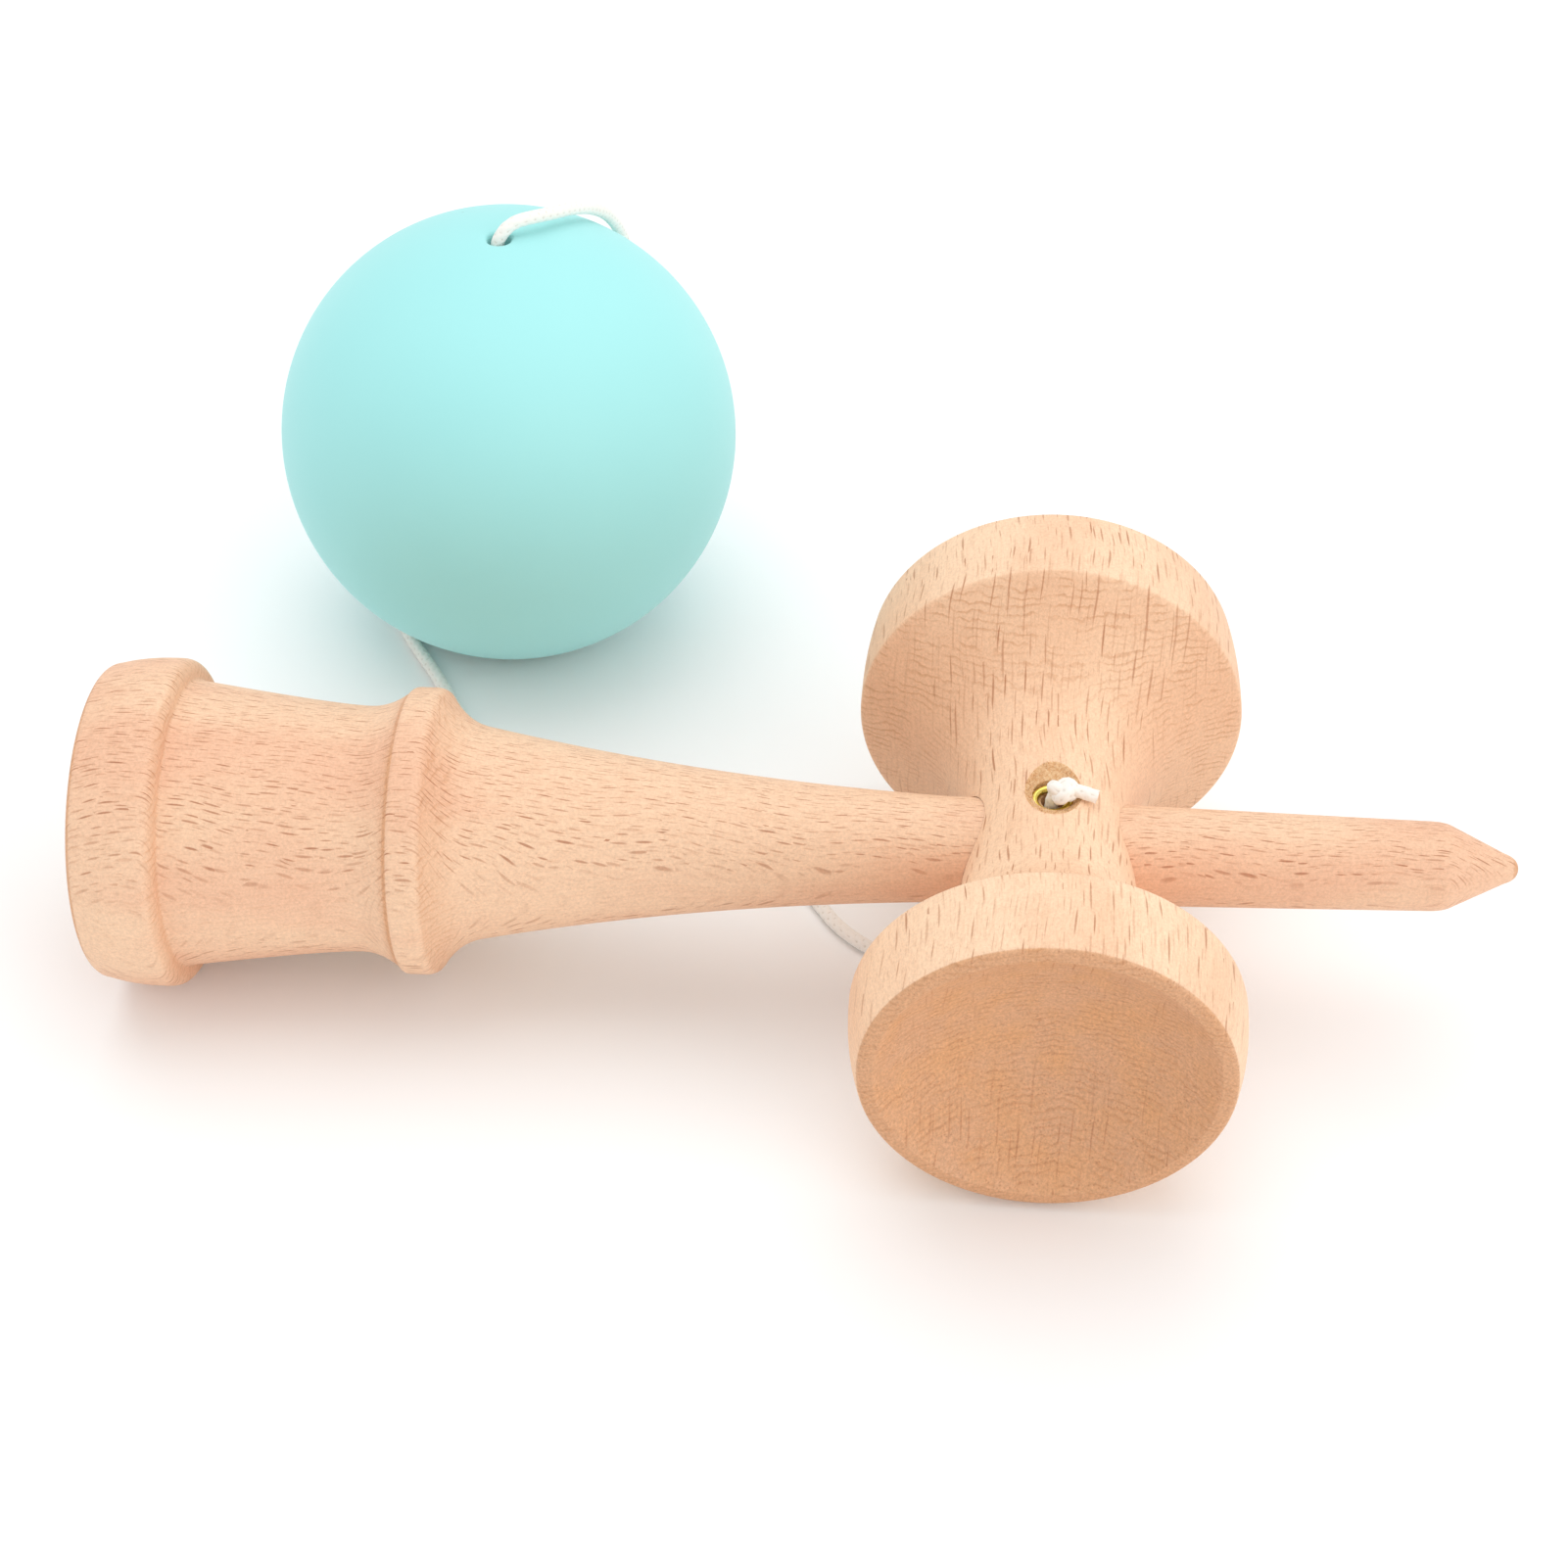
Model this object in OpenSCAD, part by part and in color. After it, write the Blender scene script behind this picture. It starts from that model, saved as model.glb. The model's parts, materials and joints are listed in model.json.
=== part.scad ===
// Kendama: a wooden cup-and-ball toy lying on the ground, its ball standing beside it.
// Millimetres. +X runs along the handle to its spike, +Y from the small cup to the big
// cup, +Z up. The origin is on the ground, under the middle of the wooden pieces.

/* [Ball] */
// Diameter of the ball
ball_d = 60; // [50:1:72]
// Diameter of the big hole that the spike goes into
big_hole_d = 22.5; // [19:0.5:27]
// Depth of the big hole's straight wall, from the ground up
big_hole_depth = 26; // [20:1:31]
// Width of the bevel round the big hole's mouth
big_hole_bevel = 0.6; // [0.3:0.1:1]
// Height of the drilled cone above the big hole
drill_cone_h = 6; // [4:1:8]
// Diameter of the pocket that the bead sits in
pocket_d = 11; // [9:0.5:14]
// Height of the bead's pocket
pocket_h = 11; // [9:1:13]
// Clear distance between the handle's collar and the ball
ball_gap = 23.6; // [18:0.2:30]
// Distance of the ball back along the handle from the crossing
ball_back = 72.3; // [65:0.1:80]

/* [Handle] */
// From the crossing to the base cup's rim
base_reach = 110.4; // [92:0.2:133]
// From the crossing to the spike's tip
spike_reach = 53.5; // [46:0.5:64]
// Diameter of the base cup's band
base_cup_d = 38.6; // [36:0.2:46]
// Width of the base cup's band
base_band = 10.2; // [9:0.2:13]
// Depth of the base cup's hollow
base_cup_depth = 7; // [5:0.5:8.5]
// Width of the base cup's rim, from the band's edge to the hollow
base_rim_w = 3; // [2.2:0.1:4]
// Diameter of the grip beside the base cup
grip_wide_d = 33.6; // [28:0.2:36]
// Diameter of the grip where it is thinnest
grip_thin_d = 28.8; // [24:0.2:32]
// Diameter of the collar
collar_d = 33.6; // [28:0.2:40]
// Width of the collar
collar_w = 4.1; // [3:0.1:6]
// From the crossing to the middle of the collar
collar_reach = 72.5; // [66:0.5:80]
// Diameter of the stem where it leaves the collar
stem_d = 24.9; // [21:0.1:28]
// Diameter of the handle where it goes into the cup piece
seat_in_d = 12.3; // [10.2:0.1:14.8]
// Diameter of the handle where it comes out of the cup piece
seat_out_d = 11.5; // [9.6:0.1:13.8]
// Diameter of the spike at its shoulder
spike_d = 10.3; // [8.5:0.1:12.4]
// Length of the spike's pointed tip
tip_l = 8.6; // [7:0.2:11]
// Diameter of the tip where its nose starts to round
nose_d = 3.5; // [2.5:0.1:4.5]

/* [Cup piece] */
// Length of the cup piece from rim to rim
cups_l = 70.8; // [64:0.2:85]
// Diameter of the small cup
small_cup_d = 43.5; // [36:0.5:52]
// Width of the small cup's band
small_band = 10.3; // [8.5:0.1:12.5]
// Depth of the small cup's hollow
small_cup_depth = 8.5; // [7:0.5:11]
// Diameter of the big cup
big_cup_d = 46; // [38:0.5:55]
// Width of the big cup's band
big_band = 12.1; // [10:0.1:14.5]
// Depth of the big cup's hollow
big_cup_depth = 10; // [8:0.5:12]
// Width of both cups' rims
cup_rim_w = 1.6; // [1.2:0.1:2.2]
// Diameter of the waist between the cups
neck_d = 19.5; // [16.2:0.1:23.4]

/* [String and its fittings] */
// Diameter of the string
string_d = 1.7; // [1.4:0.1:2]
// Diameter of the holes that the string goes through
string_hole_d = 3; // [2.5:0.1:3.6]
// Diameter of the drilled hollow round the string's hole, at the waist's surface
sink_d = 9.4; // [8:0.1:11]
// Depth of the brass ring's seat below the waist's surface
ring_depth = 2; // [1.5:0.1:2.4]
// Outer diameter of the brass ring
ring_d = 4.9; // [4.1:0.1:5.9]
// Thickness of the brass ring's wire
ring_wire = 0.9; // [0.7:0.1:1.1]
// Diameter of the knot on the brass ring
knot_d = 3.9; // [3.2:0.1:4.7]
// Height of the bead inside the ball
bead_h = 6; // [5:0.5:7]

/* [Hidden] */
$fn = 96;

// How far each band narrows from its inner edge to its rim, and how its corners round
base_narrowing = 1.2;
small_narrowing = 1.4;
big_narrowing = 0.9;
base_rim_round = 1.4;
cup_rim_round = 0.9;
band_curve = 2.5;
flare_curve = 3;

// Clearances: across the ring in its seat, across the bead in its pocket and under the
// pocket's ceiling, across the string in the bead, and a cutting tool's overrun past a face
ring_clearance = 0.1;
bead_clearance_d = 2;
bead_clearance = 0.4;
string_clearance_d = 0.7;
overrun = 1;

bead_d = pocket_d - bead_clearance_d;
bead_hole_d = string_d + string_clearance_d;

ball_r = ball_d / 2;
neck_r = neck_d / 2;
half_l = cups_l / 2;
string_r = string_d / 2;

// Quadratic curve from a to c that leaves a and reaches c along the lines to b
function curve(a, b, c, steps) =
    [for (k = [0:steps]) let (t = k / steps) (1 - t) * (1 - t) * a + 2 * t * (1 - t) * b + t * t * c];

// Quarter round that ends a band at its rim: from the rim's flat face to the band
function rim_corner(edge_r, rim_s, round, steps = 6) =
    [for (k = [0:steps]) let (a = 90 * k / steps)
        [edge_r - round * (1 - sin(a)), rim_s - round * (1 - cos(a))]];

// Barrel-shaped band from just inside its rounded rim down to its inner edge
function band_side(wide_r, narrowing, rim_s, band, round, steps = 8) =
    [for (k = [0:steps]) let (t = (1 - k / steps) * (1 - round / band))
        [wide_r - narrowing * pow(t, band_curve), rim_s - band * (1 - t)]];

// ---- Cup piece: outline of one end, as [radius, distance from the crossing] ----
function cup_end(cup_d, narrowing, band, steps = 12) =
    let (edge_s = half_l - band, rim_r = cup_d / 2 - narrowing)
    concat([[0, half_l]],
           rim_corner(rim_r, half_l, cup_rim_round),
           band_side(cup_d / 2, narrowing, half_l, band, cup_rim_round),
           [for (k = [1:steps]) let (u = 1 - k / steps)
               [neck_r + (cup_d / 2 - neck_r) * pow(u, flare_curve), edge_s * u]]);

big_end = cup_end(big_cup_d, big_narrowing, big_band);
small_end = [for (p = cup_end(small_cup_d, small_narrowing, small_band)) [p[0], -p[1]]];
small_end_inwards = [for (k = [len(small_end) - 2:-1:0]) small_end[k]];
cup_outline = concat(big_end, small_end_inwards);

// ---- Handle: outline as [radius, distance from the crossing], spike positive ----
base_edge_s = base_reach - base_band;
base_edge_round = 2;
seat_half = neck_r + 2.2;
collar_bevel = 0.4;
collar_near = -collar_reach - collar_w / 2;
collar_far = -collar_reach + collar_w / 2;
grip_thin_s = collar_near - 5;
collar_far_r = collar_d / 2 - collar_bevel;
stem_start_s = collar_far + 4.7;
shoulder_s = spike_reach - tip_l;
nose_l = 1.6;

base_end = concat([[0, base_reach]],
                  rim_corner(base_cup_d / 2 - base_narrowing, base_reach, base_rim_round),
                  band_side(base_cup_d / 2, base_narrowing, base_reach,
                            base_band - base_edge_round, base_rim_round),
                  curve([base_cup_d / 2, base_edge_s + base_edge_round],
                        [base_cup_d / 2, base_edge_s],
                        [base_cup_d / 2 - base_edge_round, base_edge_s], 4));
base_outline = [for (p = base_end) [p[0], -p[1]]];
grip_outline = concat(
    curve([grip_wide_d / 2, -base_edge_s + 0.1], [grip_thin_d / 2, grip_thin_s - 4],
          [grip_thin_d / 2, grip_thin_s], 12),
    curve([grip_thin_d / 2, grip_thin_s], [grip_thin_d / 2, grip_thin_s + 2.6],
          [collar_d / 2 - collar_bevel, collar_near], 8));
collar_outline = [[collar_d / 2, collar_near + collar_bevel], [collar_d / 2, collar_far - collar_bevel]];
stem_outline = concat(
    curve([collar_far_r, collar_far], [stem_d / 2 + 0.6, collar_far + 2.2],
          [stem_d / 2, stem_start_s], 8),
    curve([stem_d / 2, stem_start_s], [seat_in_d / 2 + 1.15, -seat_half - 28],
          [seat_in_d / 2, -seat_half], 14));
spike_outline = concat(
    [[seat_out_d / 2, seat_half]],
    curve([spike_d / 2, shoulder_s - 1.2], [spike_d / 2 - 0.05, shoulder_s + 0.4],
          [spike_d / 2 - 0.6, shoulder_s + 1.3], 4),
    curve([nose_d / 2, spike_reach - nose_l], [nose_d / 2 - 0.5, spike_reach],
          [0, spike_reach], 5));
handle_outline = concat(base_outline, grip_outline, collar_outline, stem_outline, spike_outline);

// ---- How the toy lies: both cups' bands and the base cup's band touch the ground ----
cups_tilt = atan((big_cup_d - small_cup_d) / 2 / (cups_l - big_band - small_band));
cross_z = max([for (p = cup_outline) p[0] * cos(cups_tilt) - p[1] * sin(cups_tilt)]);
handle_tilt = min([for (p = base_outline) if (p[0] > 0)
    asin(cross_z / norm(p)) - atan2(p[0], -p[1])]);

// Where the crossing is, so that the wooden pieces' box is centred on the origin
low_x = min([for (p = handle_outline) p[1] * cos(handle_tilt) - p[0] * sin(handle_tilt)]);
high_x = max([for (p = handle_outline) p[1] * cos(handle_tilt) + p[0] * sin(handle_tilt)]);
low_y = min([for (p = cup_outline) p[1] * cos(cups_tilt) - p[0] * sin(cups_tilt)]);
ball_y = collar_d / 2 + ball_gap + ball_r;
cross_x = -(low_x + high_x) / 2;
cross_y = -(low_y + ball_y + ball_r) / 2;
crossing = [cross_x, cross_y, 0];

// The ball stands on the bevelled mouth of its big hole
mouth_r = big_hole_d / 2 + big_hole_bevel;
ball_z = sqrt(ball_r * ball_r - mouth_r * mouth_r);
ball_top = ball_z + ball_r;
ball_place = [cross_x - ball_back, cross_y + ball_y, 0];
pocket_z = big_hole_depth + drill_cone_h;
ceiling_z = pocket_z + pocket_h;

// Places the handle and what is fixed to it as the toy lies, crossing at the origin
module laid() {
    translate([cross_x, cross_y, cross_z])
        rotate([cups_tilt, -handle_tilt, 0])
            children();
}

module along_handle() { rotate([0, 90, 0]) children(); }
module along_cups() { rotate([-90, 0, 0]) children(); }

// Round hollow of a cup: mouth radius, depth, and how far its rim is from the crossing
module cup_hollow(hollow_r, depth, rim_s) {
    round_r = (hollow_r * hollow_r + depth * depth) / (2 * depth);
    translate([0, 0, rim_s + round_r - depth]) sphere(r = round_r);
}

module string_hole(from_z, to_z) {
    translate([0, 0, from_z]) cylinder(d = string_hole_d, h = to_z - from_z);
}

// ---- Handle, turned from one piece of beech ----
module ken() {
    color("#F4CEAE") laid() difference() {
        along_handle() rotate_extrude() polygon(handle_outline);
        along_handle() mirror([0, 0, 1])
            cup_hollow(base_cup_d / 2 - base_narrowing - base_rim_w, base_cup_depth, base_reach);
        string_hole(-seat_in_d, seat_in_d);
    }
}

// ---- Cup piece, turned beech, pushed on to the handle's taper ----
sink_tip_angle = 118;
sink_slope = tan(sink_tip_angle / 2);
sink_tip_z = neck_r - sink_d / 2 / sink_slope;
ring_seat_z = neck_r - ring_depth;

module sarado() {
    small_mouth_r = small_cup_d / 2 - small_narrowing - cup_rim_w;
    big_mouth_r = big_cup_d / 2 - big_narrowing - cup_rim_w;
    color("#F6D2B0") laid() difference() {
        along_cups() rotate_extrude() polygon(cup_outline);
        along_cups() cup_hollow(big_mouth_r, big_cup_depth, half_l);
        along_cups() mirror([0, 0, 1]) cup_hollow(small_mouth_r, small_cup_depth, half_l);
        along_handle() translate([0, 0, -seat_half])
            cylinder(d1 = seat_in_d, d2 = seat_out_d, h = 2 * seat_half);
        string_hole(-neck_r - overrun, neck_r + overrun);
        translate([0, 0, ring_seat_z])
            cylinder(d = ring_d + ring_clearance, h = ring_depth + overrun);
        translate([0, 0, sink_tip_z])
            cylinder(r1 = 0, r2 = (ring_depth + 2) * sink_slope, h = ring_depth + 2);
    }
}

// ---- Ball, turned beech under matt paint ----
module tama() {
    color("#B2ECE9") translate(ball_place) difference() {
        translate([0, 0, ball_z]) sphere(d = ball_d);
        translate([0, 0, -ball_r]) cylinder(d = ball_d, h = ball_r);
        translate([0, 0, -overrun]) cylinder(d = big_hole_d, h = big_hole_depth + overrun);
        cylinder(d1 = 2 * mouth_r, d2 = big_hole_d, h = big_hole_bevel);
        translate([0, 0, big_hole_depth]) cylinder(d1 = big_hole_d, d2 = pocket_d, h = drill_cone_h);
        translate([0, 0, pocket_z - 0.01]) cylinder(d = pocket_d, h = pocket_h + 0.01);
        string_hole(ceiling_z - overrun, ball_top + overrun);
    }
}

// ---- Brass ring that the string's knot pulls against: flat below, round above ----
module brass_ring() {
    mean_r = (ring_d - ring_wire) / 2;
    color("#E3BE4E") laid() translate([0, 0, ring_seat_z]) rotate_extrude() union() {
        translate([mean_r, ring_wire / 2]) circle(d = ring_wire);
        translate([mean_r - ring_wire / 2, 0]) square([ring_wire, ring_wire / 2]);
    }
}

// ---- Knot on the ring, its cut end, and the string down through both wooden pieces ----
knot_sink = 0.4;
knot_centre = [1.2, -0.4, ring_seat_z + ring_wire + knot_d / 2 - knot_sink];
tail_end = [4.7, -0.6, neck_r - 0.3];

// Straight string between two points
module string_piece(a, b) {
    v = b - a;
    translate(a) rotate([0, acos(v[2] / norm(v)), atan2(v[1], v[0])])
        cylinder(d = string_d, h = norm(v));
}

module sarado_knot() {
    color("#F5F2EE") laid() {
        translate(knot_centre) sphere(d = knot_d);
        string_piece(knot_centre, tail_end);
        translate([0, 0, -neck_r]) cylinder(d = string_d, h = neck_r + knot_centre[2]);
    }
}

// ---- The string's way. Plan from the crossing, height from the ground ----
run_route = [
    [0, 0, 9], [-0.1, 0, 6], [-1.4, 0.1, 2.9], [-4.4, 0.3, 1], [-9, 0.7, 0.9],
    [-15, 2, 0.9], [-20.5, 4.6, 0.9], [-24.4, 8, 0.9], [-27.6, 12.6, 0.9], [-31.5, 18, 0.9],
    [-38, 22.6, 0.9], [-47, 25.6, 0.9], [-57, 29, 0.9], [-67, 34.6, 0.9], [-75.5, 42.4, 0.9],
    [-81, 51.6, 0.9], [-86.6, 61, 0.9], [-90, 71, 0.9], [-89.6, 82, 0.9], [-85.4, 93, 0.9],
    [-81.4, 101, 0.9]];
// From beside the coil up behind the ball, over it and into its top:
// [turn about the ball's axis, outwards, height]
lead_foot = [[12.4, 32, 2.9], [12.9, 30.1, 3.6], [13.2, 28.8, 5.6]];
lead_route = [
    [65, 31.6, 9], [65, 31.6, 15], [65, 31.6, 21], [65, 31.6, 27], [64.5, 31.1, 33],
    [63.5, 29.4, 39.3], [61.5, 26.3, 45.2], [58.5, 21.9, 50.4], [53.5, 16.6, 54.5], [47.5, 11.9, 57],
    [41, 8.2, 58.3], [35, 5.4, 59.05], [31, 3.2, 59.3], [30, 2.05, 59.1], [30, 0.9, 58.45],
    [30, -0.05, 57.2], [30, -0.4, 55.8], [30, -0.4, 54.8]];

// Coil of the slack string behind the ball, plan from the ball's axis
coil_centre = [2, 38];
coil_mean_r = 9;
coil_w = 3.6;
coil_h = 3.4;
coil_corner = 0.8;
tie_w = 3;
tie_wrap = 0.5;
coil_entry = [coil_centre[0] - coil_mean_r - string_r - 0.05, coil_centre[1], string_r + 0.05];

string_exit = [cross_x, cross_y, cross_z]
    + [sin(handle_tilt) * cos(cups_tilt), sin(cups_tilt), -cos(handle_tilt) * cos(cups_tilt)] * neck_r;
run_points = concat([string_exit], [for (p = run_route) crossing + p], [ball_place + coil_entry]);
lead_points = concat(
    [for (p = lead_foot) ball_place + p],
    [for (p = lead_route) ball_place + [p[1] * cos(p[0]), p[1] * sin(p[0]), p[2]]]);

// Smooth curve through the points of a route, with the given steps between two points
function through(p, steps) = concat(
    [for (i = [0:len(p) - 2], k = [0:steps - 1])
        let (a = p[max(i - 1, 0)], b = p[i], c = p[i + 1], d = p[min(i + 2, len(p) - 1)], t = k / steps)
        b + t * (c - a) / 2 + t * t * (2 * a - 5 * b + 4 * c - d) / 2
          + t * t * t * (3 * b - a - 3 * c + d) / 2],
    [p[len(p) - 1]]);
function unit(v) = v / norm(v);
function heading(path, i) = unit(path[min(i + 1, len(path) - 1)] - path[max(i - 1, 0)]);
function square_to(v, t) = unit(v - (v * t) * t);
// A direction square to the path at every point, carried along without twist
function sideways(path) = [for (i = 0, u = square_to([1, 0.2, 0.1], heading(path, 0)); i < len(path);
    i = i + 1, u = i < len(path) ? square_to(u, heading(path, i)) : u) u];

// Round tube of one closed polyhedron along a path
module tube(path, tube_r, sides = 8) {
    n = len(path);
    u = sideways(path);
    points = [for (i = [0:n - 1], k = [0:sides - 1])
        path[i] + tube_r * (cos(360 * k / sides) * u[i]
                            + sin(360 * k / sides) * cross(heading(path, i), u[i]))];
    walls = [for (i = [0:n - 2], k = [0:sides - 1]) let (m = (k + 1) % sides)
        [i * sides + k, (i + 1) * sides + k, (i + 1) * sides + m, i * sides + m]];
    first_end = [for (k = [0:sides - 1]) k];
    last_end = [for (k = [sides - 1:-1:0]) (n - 1) * sides + k];
    polyhedron(points = points, faces = concat([first_end], walls, [last_end]));
}

module string_run() { color("#F5F2EE") tube(through(run_points, 2), string_r); }
module string_lead() { color("#F5F2EE") tube(through(lead_points, 1), string_r); }

// ---- Coil as one closed ring, narrower where its tie goes round it ----
module on_coil() { translate(ball_place + [coil_centre[0], coil_centre[1], 0]) children(); }

module tie_block(inset) {
    translate([coil_mean_r - coil_w / 2 - tie_wrap / 2 + inset, -tie_w / 2, inset])
        cube([coil_w + tie_wrap - 2 * inset, tie_w, coil_h + tie_wrap - 2 * inset]);
}

module coil_section() {
    x = coil_w / 2;
    c = coil_corner;
    translate([coil_mean_r, 0])
        polygon([[-x, 0], [x, 0], [x, coil_h - c], [x - c, coil_h], [c - x, coil_h], [-x, coil_h - c]]);
}

module string_coil() {
    color("#F5F2EE") on_coil() difference() {
        rotate_extrude() coil_section();
        difference() {
            rotate([0, 0, 90]) tie_block(0);
            rotate([0, 0, 90]) tie_block(tie_wrap);
        }
    }
}

module coil_tie() {
    color("#E9E4DB") on_coil() rotate([0, 0, 90]) difference() {
        tie_block(0);
        translate([tie_wrap + coil_mean_r - coil_w / 2 - tie_wrap / 2, -tie_w / 2 - overrun, tie_wrap])
            cube([coil_w - tie_wrap, tie_w + 2 * overrun, coil_h - tie_wrap]);
    }
}

// ---- Bead inside the ball, and the knot under it that holds the ball on the string ----
bead_top_z = ceiling_z - bead_clearance;
bead_foot_z = bead_top_z - bead_h;
knot_squash = 0.6;

module tama_bead() {
    color("#E8C79E") translate(ball_place) translate([0, 0, bead_foot_z]) difference() {
        cylinder(d = bead_d, h = bead_h);
        translate([0, 0, -overrun]) cylinder(d = bead_hole_d, h = bead_h + 2 * overrun);
    }
}

module bead_knot() {
    knot_z = bead_foot_z - knot_d / 2 + knot_squash;
    lead_end_z = lead_route[len(lead_route) - 1][2];
    color("#F5F2EE") translate(ball_place) {
        translate([0, 0, knot_z]) sphere(d = knot_d);
        translate([0, 0, knot_z]) cylinder(d = string_d, h = lead_end_z - knot_z);
    }
}

ken();
sarado();
tama();
brass_ring();
sarado_knot();
string_run();
string_coil();
coil_tie();
string_lead();
tama_bead();
bead_knot();
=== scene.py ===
import json
import math

import bmesh
import bpy
from mathutils import Matrix, Vector


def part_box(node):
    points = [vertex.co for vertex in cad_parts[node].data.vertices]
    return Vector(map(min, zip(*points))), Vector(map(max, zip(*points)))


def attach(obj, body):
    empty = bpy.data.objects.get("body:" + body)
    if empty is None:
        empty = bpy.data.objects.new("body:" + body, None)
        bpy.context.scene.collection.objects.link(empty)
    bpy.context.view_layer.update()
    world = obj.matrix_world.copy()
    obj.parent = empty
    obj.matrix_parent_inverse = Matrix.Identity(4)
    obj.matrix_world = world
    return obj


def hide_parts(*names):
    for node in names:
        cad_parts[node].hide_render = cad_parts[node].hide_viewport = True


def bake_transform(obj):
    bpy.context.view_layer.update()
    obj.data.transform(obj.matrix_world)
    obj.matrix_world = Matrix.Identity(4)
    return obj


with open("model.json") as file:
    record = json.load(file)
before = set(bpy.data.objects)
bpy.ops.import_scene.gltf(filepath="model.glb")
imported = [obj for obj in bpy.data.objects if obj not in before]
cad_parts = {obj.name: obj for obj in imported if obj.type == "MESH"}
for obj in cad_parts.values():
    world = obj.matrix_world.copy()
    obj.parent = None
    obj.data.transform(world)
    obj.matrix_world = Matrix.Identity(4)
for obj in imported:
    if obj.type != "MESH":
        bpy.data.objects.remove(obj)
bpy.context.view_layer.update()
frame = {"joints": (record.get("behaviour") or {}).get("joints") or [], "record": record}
scene = bpy.context.scene
MM = 0.001

# --- Camera ---------------------------------------------------------------------------
# A short telephoto lens looks down on the toy from the small cup's side, turned a little
# to the left and leaning by a degree.
camera_aim = Vector((-3.5, -9.0, 10.0)) * MM
camera_distance = 373.8 * MM
camera_azimuth = math.radians(3.465)
camera_elevation = math.radians(41.6)
camera_lean = math.radians(0.955)

back = Vector((math.sin(camera_azimuth) * math.cos(camera_elevation),
               -math.cos(camera_azimuth) * math.cos(camera_elevation),
               math.sin(camera_elevation)))
level = Vector((math.cos(camera_azimuth), math.sin(camera_azimuth), 0.0))
upward = back.cross(level)
right = level * math.cos(camera_lean) + upward * math.sin(camera_lean)
top = back.cross(right)
lens = bpy.data.cameras.new("camera")
lens.lens = 68.9
lens.sensor_width = 36.0
lens.clip_start = 0.01
camera = bpy.data.objects.new("camera", lens)
camera.matrix_world = (Matrix.Translation(camera_aim + back * camera_distance)
                       @ Matrix((right, top, back)).transposed().to_4x4())
scene.collection.objects.link(camera)
scene.camera = camera

# --- String ---------------------------------------------------------------------------
# One braided white cord of 1.7 mm joins the cup piece to the ball. It leaves the hole
# under the waist, lies on the ground, is wound up behind the ball and drops into its top.
STRING_R = 0.85
STRING_STEP = 0.3
NECK_R = 9.75
RING_ABOVE_CROSSING = 8.2

# How the wooden pieces lie: the handle along X and the cup piece along Y, each tilted by a
# degree or two. They cross a little below the level brass ring on top of the waist.
mounts = {mount["name"]: mount for mount in frame["record"]["mounts"]}
along_handle = -Vector(mounts["base_rim"]["axis"]).normalized()
along_cups = Vector(mounts["big_cup_rim"]["axis"]).normalized()
cups_up = along_handle.cross(along_cups).normalized()
ring_low, ring_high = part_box("brass_ring")
laid = Matrix((along_handle, along_cups, cups_up)).transposed().to_4x4()
laid.translation = (ring_low + ring_high) / 2 - cups_up * (RING_ABOVE_CROSSING * MM)
crossing = laid.translation / MM
crossing.z = 0.0
string_exit = laid @ Vector((0, 0, -NECK_R * MM)) / MM
joints = {joint["name"]: joint for joint in frame["joints"]}
ball_axis = Vector(joints["tama_spin"]["pos_m"]) / MM
ball_axis.z = 0.0

run_route = [
    (0, 0, 9), (-0.1, 0, 6), (-1.4, 0.1, 2.9), (-4.4, 0.3, 1), (-9, 0.7, 0.9),
    (-15, 2, 0.9), (-20.5, 4.6, 0.9), (-24.4, 8, 0.9), (-27.6, 12.6, 0.9), (-31.5, 18, 0.9),
    (-38, 22.6, 0.9), (-47, 25.6, 0.9), (-57, 29, 0.9), (-67, 34.6, 0.9), (-75.5, 42.4, 0.9),
    (-81, 51.6, 0.9), (-86.6, 61, 0.9), (-90, 71, 0.9), (-89.6, 82, 0.9), (-85.4, 93, 0.9),
    (-81.4, 101, 0.9)]
lead_foot = [(12.4, 32, 2.9), (12.9, 30.1, 3.6), (13.2, 28.8, 5.6)]
lead_route = [  # turn about the ball's axis in degrees, outwards, height
    (65, 31.6, 9), (65, 31.6, 15), (65, 31.6, 21), (65, 31.6, 27), (64.5, 31.1, 33),
    (63.5, 29.4, 39.3), (61.5, 26.3, 45.2), (58.5, 21.9, 50.4), (53.5, 16.6, 54.5), (47.5, 11.9, 57),
    (41, 8.2, 58.3), (35, 5.4, 59.05), (31, 3.2, 59.3), (30, 2.05, 59.1), (30, 0.9, 58.45),
    (30, -0.05, 57.2), (30, -0.4, 55.8), (30, -0.4, 54.8)]
coil_centre = Vector((2, 38, 0))
coil_outer_r, coil_inner_r, coil_top_r = 9.9, 8.1, 9.0
coil_ground_z, coil_top_z = 0.9, 2.36
coil_turned = 888  # two and a half times round, in degrees
moves_in_from, moves_in_to = 285, 345
climbs_from, climbs_to = 640, 705
tie_at, tie_lift, tie_reach = 90, 0.4, 22


def ease(value, start, end):
    """0 before start, 1 after end, and a soft step between them."""
    t = min(max((value - start) / (end - start), 0.0), 1.0)
    return t * t * (3 - 2 * t)


def coil_point(turned):
    """Where the wound string is after turning clockwise by that many degrees."""
    inwards = ease(turned, moves_in_from, moves_in_to)
    on_top = ease(turned, climbs_from, climbs_to)
    radius = coil_outer_r + (coil_inner_r - coil_outer_r) * inwards
    radius += (coil_top_r - coil_inner_r) * on_top
    height = coil_ground_z + (coil_top_z - coil_ground_z) * on_top
    angle = 180 - turned
    past_tie = (angle - tie_at + 180) % 360 - 180
    height += tie_lift * math.exp(-(past_tie / tie_reach) ** 2)
    around = math.radians(angle)
    return coil_centre + Vector((radius * math.cos(around), radius * math.sin(around), height))


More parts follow.
